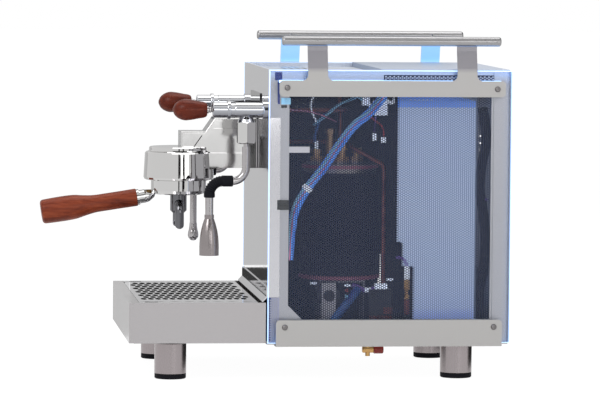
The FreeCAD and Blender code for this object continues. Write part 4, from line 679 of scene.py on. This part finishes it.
# ------------------------------------------------------------------ perforated sheets
SCREEN_X = 149.6            # just inside the side frames, seen through their windows
STRIP_X = 152.2             # just outside the side frames
HOLE_PITCH = 3.0
HOLE_R = 1.21               # six-sided, the area of a 2.2 mm round hole
BORDER = 1.4                # from a field's edge to the nearest hole's centre
MERGE_STEP = 0.02           # corners of cells nearer than this are one corner
# Fields as front, rear, bottom and top.
SCREEN_FIELD = (18.0, 289.0, 66.0, 362.0)
STRIP_FIELD = (144.5, 301.0, 375.2, 382.0)
CORNER_FIELD = (1.8, 15.3, 47.6, 103.6)

GRID_PITCH, GRID_HOLE, GRID_BORDER = 9.0, 3.95, 5.5
GRID_STRETCH = 3.2          # the grid's holes are this much longer across the machine
FINGER_X = (146.3, 152.7)
FINGER_Y = (-152.0, -136.0)


def perforated_field(y0, y1, z0, z1, corners, points, faces,
                     pitch=HOLE_PITCH, hole=HOLE_R, border=BORDER):
    """Hexagonal cells, each with its hole, over one rectangle; plain cells along its edges."""
    across = pitch / math.sqrt(3)
    turns = [math.radians(60 * k) for k in range(6)]

    def corner(y, z):
        y, z = min(max(y, y0), y1), min(max(z, z0), z1)
        key = (round(y / MERGE_STEP), round(z / MERGE_STEP))
        if key not in corners:
            corners[key] = len(points)
            points.append((y, z))
        return corners[key]

    columns = int((y1 - y0) / (1.5 * across)) + 3
    rows = int((z1 - z0) / pitch) + 3
    for i in range(-1, columns):
        for j in range(-1, rows):
            y = y0 + 1.5 * across * i
            z = z0 + pitch * (j + 0.5 * (i % 2))
            outer = [corner(y + across * math.cos(a), z + across * math.sin(a)) for a in turns]
            ring = [v for k, v in enumerate(outer) if v != outer[k - 1]]
            if len(set(ring)) < 3:
                continue
            if not (y0 + border < y < y1 - border and z0 + border < z < z1 - border):
                faces.append(tuple(ring))
                continue
            first = len(points)
            points.extend((y + hole * math.cos(a), z + hole * math.sin(a)) for a in turns)
            for k in range(6):
                n = (k + 1) % 6
                faces.append((outer[k], outer[n], first + n, first + k))


def drop_slivers(piece):
    """Take out the faces with no area that cells cut by a field's edge leave."""
    bm = bmesh.new()
    bm.from_mesh(piece.data)
    bmesh.ops.dissolve_degenerate(bm, dist=1e-6, edges=bm.edges)
    bm.to_mesh(piece.data)
    bm.free()


def add_screen(name, field, x, look="screen_paint"):
    corners, flat, faces = {}, [], []
    perforated_field(*field, corners, flat, faces)
    if x < 0:
        faces = [face[::-1] for face in faces]
    screen = add_piece(name, [(x, y, z) for y, z in flat], faces, look,
                       slot="screen_steel", smooth=False)
    drop_slivers(screen)
    return screen


def add_screens():
    for hand, side in HANDS.items():
        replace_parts(add_screen("screen_" + hand, SCREEN_FIELD, side * SCREEN_X), "side_screens")
        add_screen("screen_strip_" + hand, STRIP_FIELD, side * STRIP_X)
        add_screen("screen_corner_" + hand, CORNER_FIELD, side * STRIP_X, "screen_low")


def add_grid():
    """Drip grid with staggered holes over its whole middle, and its two finger slots."""
    low, high = [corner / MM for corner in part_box("drip_grid")]
    y0, y1 = low.y - DATUM_Y / MM, high.y - DATUM_Y / MM
    half = FINGER_X[0] - 2
    corners, flat, faces = {}, [], []
    perforated_field(-half / GRID_STRETCH, half / GRID_STRETCH, y0, y1, corners, flat, faces,
                     GRID_PITCH, GRID_HOLE, GRID_BORDER)
    flat = [(x * GRID_STRETCH, y) for x, y in flat]
    for side in (-1, 1):
        xs = sorted(side * x for x in (half, *FINGER_X, high.x))
        first = len(flat)
        flat.extend((x, y) for y in (y0, *FINGER_Y, y1) for x in xs)
        # Nine faces in three rows, without the middle one, which is the finger slot.
        faces.extend((first + k, first + k + 1, first + k + 5, first + k + 4)
                     for k in (0, 1, 2, 4, 6, 8, 9, 10))
    count = len(flat)
    sides = {pair for face in faces for pair in zip(face, face[1:] + face[:1])}
    walls = [(b, a, a + count, b + count) for a, b in sides if (b, a) not in sides]
    below = [tuple(v + count for v in reversed(face)) for face in faces]
    points = [(x, y, z) for z in (high.z, low.z) for x, y in flat]
    grid = add_piece("grid_perforated", points, faces + below + sorted(walls),
                     "polished_steel", "drip_grid", smooth=False)
    drop_slivers(grid)
    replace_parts(grid, "drip_grid")


# ------------------------------------------------------------------ mats
CELL_STEPS = 6              # faces along each side of a quilted cell


def add_mat(name, corner, along, up, thickness, cells):
    """A quilted insulation mat from corner, spanning the vectors along and up."""
    corner, along, up = Vector(corner), Vector(along), Vector(up)
    out = along.cross(up).normalized()
    nu, nv = cells[0] * CELL_STEPS, cells[1] * CELL_STEPS
    points, faces = [], []
    for face in (1, -1):
        for i in range(nu + 1):
            for j in range(nv + 1):
                u, v = i / nu, j / nv
                puff = abs(math.sin(math.pi * u * cells[0]) * math.sin(math.pi * v * cells[1]))
                depth = (0.25 + 0.25 * puff) * thickness * face
                points.append(corner + along * u + up * v + out * (thickness / 2 + depth))
    half = (nu + 1) * (nv + 1)
    for i in range(nu):
        for j in range(nv):
            a = i * (nv + 1) + j
            quad = (a, a + nv + 1, a + nv + 2, a + 1)
            faces.append(quad)
            faces.append(tuple(half + k for k in reversed(quad)))
    rim = ([i * (nv + 1) for i in range(nu + 1)] + [nu * (nv + 1) + j for j in range(1, nv + 1)]
           + [i * (nv + 1) + nv for i in range(nu - 1, -1, -1)] + list(range(nv - 1, 0, -1)))
    for a, b in zip(rim, rim[1:] + rim[:1]):
        faces.append((b, a, half + a, half + b))
    add_piece(name, points, faces, "mat")


# ------------------------------------------------------------------ taps and wands
TAP_X = 120.0               # both taps stand this far from the middle
BARREL_Z = 336.4
COLLAR = [(9.32, -48.4), (11.0, -48.4), (11.4, -47.8), (11.4, -44.9), (11.0, -44.3),
          (9.32, -44.3)]

GRIP_START_Y = -40.6        # the level part's rear end
GRIP_Z = 247.2
GRIP_DROP_Y = -70.1         # the hanging part's axis
GRIP_BEND = 17.0
BEND_STEPS = 48
GRIP_R, GRIP_END_R = 7.0, 6.2
RIB_START, RIB_STOP = 9.0, 5.0      # plain lengths at the rear and at the lower end
RIB_PITCH, RIB_R, RIB_RISE = 3.1, 6.55, 0.5


def add_grip(hand, side):
    """Rubber sleeve, ribbed along the bend."""
    x = side * TAP_X
    line = [Vector((x, GRIP_START_Y - k, GRIP_Z)) for k in range(0, 13)]
    for k in range(1, BEND_STEPS + 1):
        a = math.radians(90 * k / BEND_STEPS)
        line.append(Vector((x, GRIP_DROP_Y + GRIP_BEND - GRIP_BEND * math.sin(a),
                            GRIP_Z - GRIP_BEND + GRIP_BEND * math.cos(a))))
    line += [Vector((x, GRIP_DROP_Y, GRIP_Z - GRIP_BEND - k)) for k in (1, 2, 3, 3.7)]
    length = sum((b - a).length for a, b in zip(line, line[1:]))

    def radius(share):
        run = share * length
        if share in (0, 1):
            return GRIP_END_R
        if RIB_START < run < length - RIB_STOP:
            return RIB_R + RIB_RISE * math.cos(2 * math.pi * (run - RIB_START) / RIB_PITCH)
        return GRIP_R

    grip = add_piece("grip_" + hand, *tube_mesh(line, radius, 20), "rubber", "wand_" + hand,
                     "rubber")
    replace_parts(grip, "wand_grip_" + hand)


# ------------------------------------------------------------------ inside, right-hand side
# Middle line of the CAD's wiring loom.
LOOM_WAY = ((144.05, 146, 356), (140.05, 128.5, 333), (136.05, 109, 318), (136.05, 87, 288),
            (136.05, 72, 265), (138.05, 51, 240), (141.05, 34.7, 212.6), (143.05, 30, 180),
            (144.05, 28, 150))


def add_mats():
    add_mat("mat_middle", (-8, 17, 48), (0, 143, 0), (0, 0, 322), 2.4, (3, 7))
    add_mat("mat_rear_top", (140.4, 161.6, 172), (-280, 0, 0), (0, 0, 201), 2.4, (6, 4))
    add_mat("mat_rear_middle", (140.4, 168.8, 142), (-280, 0, 0), (0, 0, 29.6), 2.2, (6, 1))
    add_mat("mat_rear_low", (139.6, 183.0, 72), (-279, 0, 0), (0, 0, 69), 2.2, (6, 2))


def add_boiler_rims():
    """Rims of the front boiler's jacket, and the white cap of its valve."""
    for name, z, r in (("boiler_rim_top", 261, 48.6), ("boiler_rim_low", 121, 51.8)):
        add_turned(name, 62, 101, [(r - 3, z), (r, z + 0.8), (r, z + 4.6), (r - 3, z + 5.4)],
                   "jacket_band", sides=64)
    add_turned("valve_cap_white", 80.4, 68.8, [(1.4, 285.6), (2.4, 286.2), (2.4, 294.6),
                                               (1.8, 295.6)], "white_plastic")


def add_top_wiring():
    """Tubes, wires and connectors above the boilers."""
    add_tube("level_tube", [(80, 67, 294), (80, 66.5, 300), (82, 69, 312), (86, 74, 325),
                            (92, 84, 336)], 1.9, "blue_rubber")
    add_tube("wire_pink_front", [(143, 20, 339), (142, 32, 337.3), (140, 52, 335.5),
                                 (138, 72, 329.5), (130, 88, 322)], 0.9, "pink_wire")
    add_tube("wire_white_front", [(126, 59, 353), (125, 56.4, 345.6), (125, 57.1, 336),
                                  (118, 64, 322)], 1.2, "white_plastic")
    add_tube("cable_blue_top", [(112, 62, 318), (125, 75.4, 330), (126, 89.8, 342.3),
                                (126, 106.8, 350.7), (125, 115.6, 353), (125, 121, 350)],
             2.0, "cyan_wire")
    add_housing("connector_front", (121, 120.4, 342.6), (130, 130.2, 353.2), "white_plastic",
                2, 2)
    add_housing("connector_rear", (117, 134.8, 330), (130, 153, 349.4), "white_plastic", 3, 2)
    add_tube("bundle_rear", [(122, 128, 346), (124, 136, 341), (125, 146, 351.2),
                             (125, 158.6, 346), (124, 162.5, 352)], 2.3, "white_plastic")
    add_housing("tab_white_front", (122, 133.8, 298.4), (127, 140, 308), "white_plastic", 2, 1)
    add_housing("tab_white_rear", (122, 145.2, 295.8), (127, 151.4, 303), "white_plastic", 1, 1)
    add_tube("wire_red", [(124, 130, 331), (125, 136, 324.5), (125, 146, 317),
                          (125, 149, 304)], 1.0, "red_wire")
    add_tube("wire_violet_top", [(125, 138, 329), (125, 137, 318), (125, 136.8, 309)], 0.9,
             "violet_wire")


def add_low_wiring():
    """Cables, connectors and terminals under the boilers and on the control box."""
    for name, y, z, x in (("pad_front", 60, 115, 96), ("pad_middle", 101, 114, 116),
                          ("pad_rear", 155, 121, 112)):
        add_housing(name, (x, y, z), (x + 5, y + 8.5, z + 3.6), "white_plastic", 1, 3)
    add_tube("cable_blue_low", [(126, 118, 113), (136, 112, 107), (138, 100, 92),
                                (138, 87, 75), (136, 76, 60), (128, 66, 51)], 5.4,
             "blue_rubber", sides=16)
    add_housing("terminal_red", (139, 99, 109.6), (146, 103.4, 113.8), "red_plastic")
    add_housing("terminal_cyan", (139, 99, 102), (146, 103.4, 106.4), "cyan_wire")
    add_tube("tube_violet", [(128, 110, 117), (131, 118, 114.5), (131, 128, 110.5),
                             (128, 138, 113)], 2.8, "violet_wire")
    add_housing("connector_pump", (127, 124.5, 108.4), (136, 133.4, 114.2), "white_plastic",
                1, 2)
    add_housing("relay_label", (128, 137.4, 112.4), (139, 153.6, 119.6), "white_plastic", 1, 4)
    add_housing("terminals_brown", (140.2, 147.8, 81.6), (145, 159, 90.4), "copper", 1, 4)
    add_housing("terminals_low", (140.2, 130, 73), (145, 159, 80), "copper", 1, 9)
    for k in range(4):
        add_housing("terminals_board_%d" % k, (140.2, 131 + 7 * k, 95), (142.4, 136 + 7 * k, 109),
                    "black_plastic", 4, 1)


def add_column():
    """Small column of fittings beside the tank, with its hose."""
    add_turned("column_low", 142, 177, [(2.6, 80.5), (3.9, 81.5), (3.9, 99), (2.6, 100)],
               "copper")
    add_turned("column_middle", 142, 177, [(2.6, 100.2), (3.5, 101), (3.5, 106), (2.4, 107),
                                           (2.4, 112), (3.9, 113), (3.9, 124), (2.6, 125)],
               "brass")
    add_turned("column_top", 142, 177, [(2.6, 125.2), (3.7, 126), (3.7, 139), (2.2, 142)],
               "white_plastic")
    add_tube("column_hose", [(142, 177, 141.5), (141.6, 176, 146), (142, 171, 152),
                             (143, 163, 153)], 2.0, "violet_wire")


def add_rear_hose():
    add_tube("hose_rear", [(137, 272, 341), (140, 275, 318), (140, 276, 295), (139, 271, 268),
                           (138, 269, 240), (139, 273, 214), (141, 276, 180), (140, 275, 140),
                           (136, 270, 110), (132, 268, 60)], 6.4, "rubber", sides=16)
    add_tube("wire_rear", [(132, 266, 224), (138, 272, 225.6), (146, 279, 226)], 1.0,
             "violet_wire")


def add_loom_wires():
    add_tube("loom_cyan", [(x + 4.2, y - 2.2, z + 2.6) for x, y, z in LOOM_WAY], 1.7,
             "cyan_wire")
    add_tube("loom_pink", [(x + 5.3, y, z) for x, y, z in LOOM_WAY], 0.9, "pink_wire")
    add_tube("loom_tie", [(141.6, 48.6, 237.4), (142.0, 50.6, 239.6), (142.2, 52.6, 242)],
             6.6, "white_plastic", sides=20)


def add_edge_pieces():
    """Clip, notch, plate and corner pieces on the inner edge of the right side."""
    add_housing("clip_front", (153.4, 11.8, 213.2), (155.2, 26.2, 225.8), "black_plastic", 2, 1)
    add_housing("notch_front", (151.8, 15.8, 340.2), (152.9, 23.4, 344), "black_plastic")
    add_housing("plate_front", (151.8, 15.8, 344.6), (152.9, 28, 353), "cyan_wire", 1, 2)
    add_housing("corner_front", (151.8, 8, 374.6), (152.9, 17.2, 385), "screen_corner", 2, 2)
    add_housing("corner_strip_front", (151.8, 11.4, 345), (152.9, 14.6, 373.6), "screen_corner",
                3, 1)
    add_housing("corner_rear", (151.8, 287, 374.6), (152.9, 299, 384), "screen_corner", 2, 2)


# ------------------------------------------------------------------ stage
# In metres, like the frame.
FLOOR_SIZE = 40.0
MACHINE_MIDDLE = Vector((0, 0, 0.2))
GROUP_Y = -0.11
LEFT_CARD_X = -0.4          # cards that the front panel's and the tray's sides mirror


def seen_by(tree, *rays):
    """1 for rays of the named kinds, 0 for all others."""
    path = tree.nodes.new("ShaderNodeLightPath")
    seen = path.outputs[rays[0]]
    for ray in rays[1:]:
        either = add_node(tree, "ShaderNodeMath", operation="MAXIMUM")
        tree.links.new(seen, either.inputs[0])
        tree.links.new(path.outputs[ray], either.inputs[1])
        seen = either.outputs[0]
    return seen


def mix_into(tree, share, first, second, output):
    """Mix two shaders by share, into an output of the given kind."""
    mix = tree.nodes.new("ShaderNodeMixShader")
    tree.links.new(share, mix.inputs["Fac"])
    tree.links.new(first.outputs[0], mix.inputs[1])
    tree.links.new(second.outputs[0], mix.inputs[2])
    tree.links.new(mix.outputs[0], tree.nodes.new(output).inputs["Surface"])


def empty_tree(owner):
    owner.use_nodes = True
    owner.node_tree.nodes.clear()
    return owner.node_tree


def stage_mesh(name, corners, look):
    """A four-cornered plane that belongs to the studio, not to the machine."""
    mesh = bpy.data.meshes.new(name)
    mesh.from_pydata([Vector(corner) for corner in corners], [], [(0, 1, 2, 3)])
    mesh.materials.append(look)
    plane = bpy.data.objects.new(name, mesh)
    scene.collection.objects.link(plane)
    return plane


def floor_material():
    """White to the camera and to mirrors, with the machine's soft shadow kept."""
    floor = bpy.data.materials.new("m_floor")
    tree = empty_tree(floor)
    diffuse = add_node(tree, "ShaderNodeBsdfDiffuse", Color=(0.8, 0.8, 0.8, 1))
    glow = add_node(tree, "ShaderNodeEmission", Color=(1, 1, 1, 1), Strength=1.12)
    share = add_node(tree, "ShaderNodeMath", operation="MULTIPLY")
    share.inputs[1].default_value = 0.85
    tree.links.new(seen_by(tree, "Is Camera Ray", "Is Glossy Ray"), share.inputs[0])
    mix_into(tree, share.outputs[0], diffuse, glow, "ShaderNodeOutputMaterial")
    return floor


def add_world():
    """Even studio light, with plain white behind everything that looks past the machine."""
    scene.world = bpy.data.worlds.new("studio")
    tree = empty_tree(scene.world)
    soft = add_node(tree, "ShaderNodeBackground", Color=(0.92, 0.95, 1.0, 1), Strength=0.55)
    white = add_node(tree, "ShaderNodeBackground", Color=(1, 1, 1, 1), Strength=1.0)
    seen = seen_by(tree, "Is Camera Ray", "Is Transmission Ray", "Is Glossy Ray")
    mix_into(tree, seen, soft, white, "ShaderNodeOutputWorld")


def add_lamp(name, place, size, power):
    """A square lamp, aimed at the middle of the machine."""
    data = bpy.data.lights.new(name, "AREA")
    data.shape = "RECTANGLE"
    data.size = data.size_y = size
    data.energy = power
    lamp = bpy.data.objects.new(name, data)
    lamp.location = place
    lamp.rotation_euler = (MACHINE_MIDDLE - Vector(place)).to_track_quat("-Z", "Y").to_euler()
    scene.collection.objects.link(lamp)


def add_flag(name, corners, strength):
    """A studio card that only mirrors see: black at 0, white at 1."""
    look = bpy.data.materials.new("m_" + name)
    tree = empty_tree(look)
    glow = add_node(tree, "ShaderNodeEmission", Color=(1, 1, 1, 1), Strength=strength)
    output = tree.nodes.new("ShaderNodeOutputMaterial")
    tree.links.new(glow.outputs[0], output.inputs["Surface"])
    card = stage_mesh(name, corners, look)
    card.visible_camera = False
    card.visible_diffuse = False
    card.visible_shadow = False
    card.visible_transmission = False


def upright_card(name, angle, distance, width, low, high, strength=0.02):
    """A card at an angle round the group, measured from +X towards -Y in degrees."""
    a = math.radians(-angle)
    middle = Vector((math.cos(a) * distance, math.sin(a) * distance + GROUP_Y, 0))
    side = Vector((-math.sin(a), math.cos(a), 0)) * width / 2
    foot, top = Vector((0, 0, low)), Vector((0, 0, high))
    add_flag(name, [middle - side + foot, middle + side + foot, middle + side + top,
                    middle - side + top], strength)


def add_stage():
    floor = FLOOR_SIZE / 2
    stage_mesh("floor", [(-floor, -floor, 0), (floor, -floor, 0), (floor, floor, 0),
                         (-floor, floor, 0)], floor_material())
    add_lamp("key", (1.6, -1.4, 1.7), 1.2, 20)
    add_lamp("side", (2.6, 0.6, 0.9), 1.4, 12)
    add_lamp("top", (0.0, 0.2, 2.4), 1.6, 18)
    add_lamp("back", (-1.8, 1.6, 1.4), 1.2, 10)
    upright_card("card_middle", 3.4, 3.0, 0.24, 0.0, 2.4)
    upright_card("card_right", -13, 2.2, 0.20, 0.0, 2.4)
    upright_card("card_far_left", 172, 1.6, 0.25, 0.0, 2.0)
    add_flag("card_above", [(0.25, -1.6, 1.5), (0.55, -1.6, 1.45), (0.55, 1.6, 1.45),
                            (0.25, 1.6, 1.5)], 0.02)
    add_flag("card_high_right", [(2.4, -1.5, 1.15), (2.4, 1.5, 1.15), (2.3, 1.5, 1.7),
                                 (2.3, -1.5, 1.7)], 0.15)
    upright_card("card_far_right", -122, 1.6, 1.4, 0.0, 2.0, 0.06)
    low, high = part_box("foot_sleeves")
    for name, y in (("card_front_feet", low.y + 0.13), ("card_rear_feet", high.y + 0.09)):
        add_flag(name, [(-0.3, y, 0.002), (high.x - 0.005, y, 0.002), (high.x - 0.005, y, high.z),
                        (-0.3, y, high.z)], 0.03)
    for name, front, rear, bottom, top, strength in (
            ("card_low_left", -0.15, 0.3, 0.0, 0.096, 0.05),
            ("card_line_left", -0.15, 0.3, 0.096, 0.099, 1.2),
            ("card_grey_left", -0.15, 0.3, 0.099, 0.46, 0.60),
            ("card_tray_left", -0.6, -0.151, 0.0, 0.46, 0.72)):
        add_flag(name, [(LEFT_CARD_X, front, bottom), (LEFT_CARD_X, rear, bottom),
                        (LEFT_CARD_X, rear, top), (LEFT_CARD_X, front, top)], strength)


add_camera()
add_world()
add_stage()
dress_nodes()
add_screens()
add_grid()
for hand, side in HANDS.items():
    add_grip(hand, side)
    add_collar("barrel_collar_" + hand, side * TAP_X, BARREL_Z, COLLAR, "chrome_round")
add_mats()
add_boiler_rims()
add_top_wiring()
add_low_wiring()
add_column()
add_rear_hose()
add_loom_wires()
add_edge_pieces()
scene.view_settings.view_transform = "Standard"
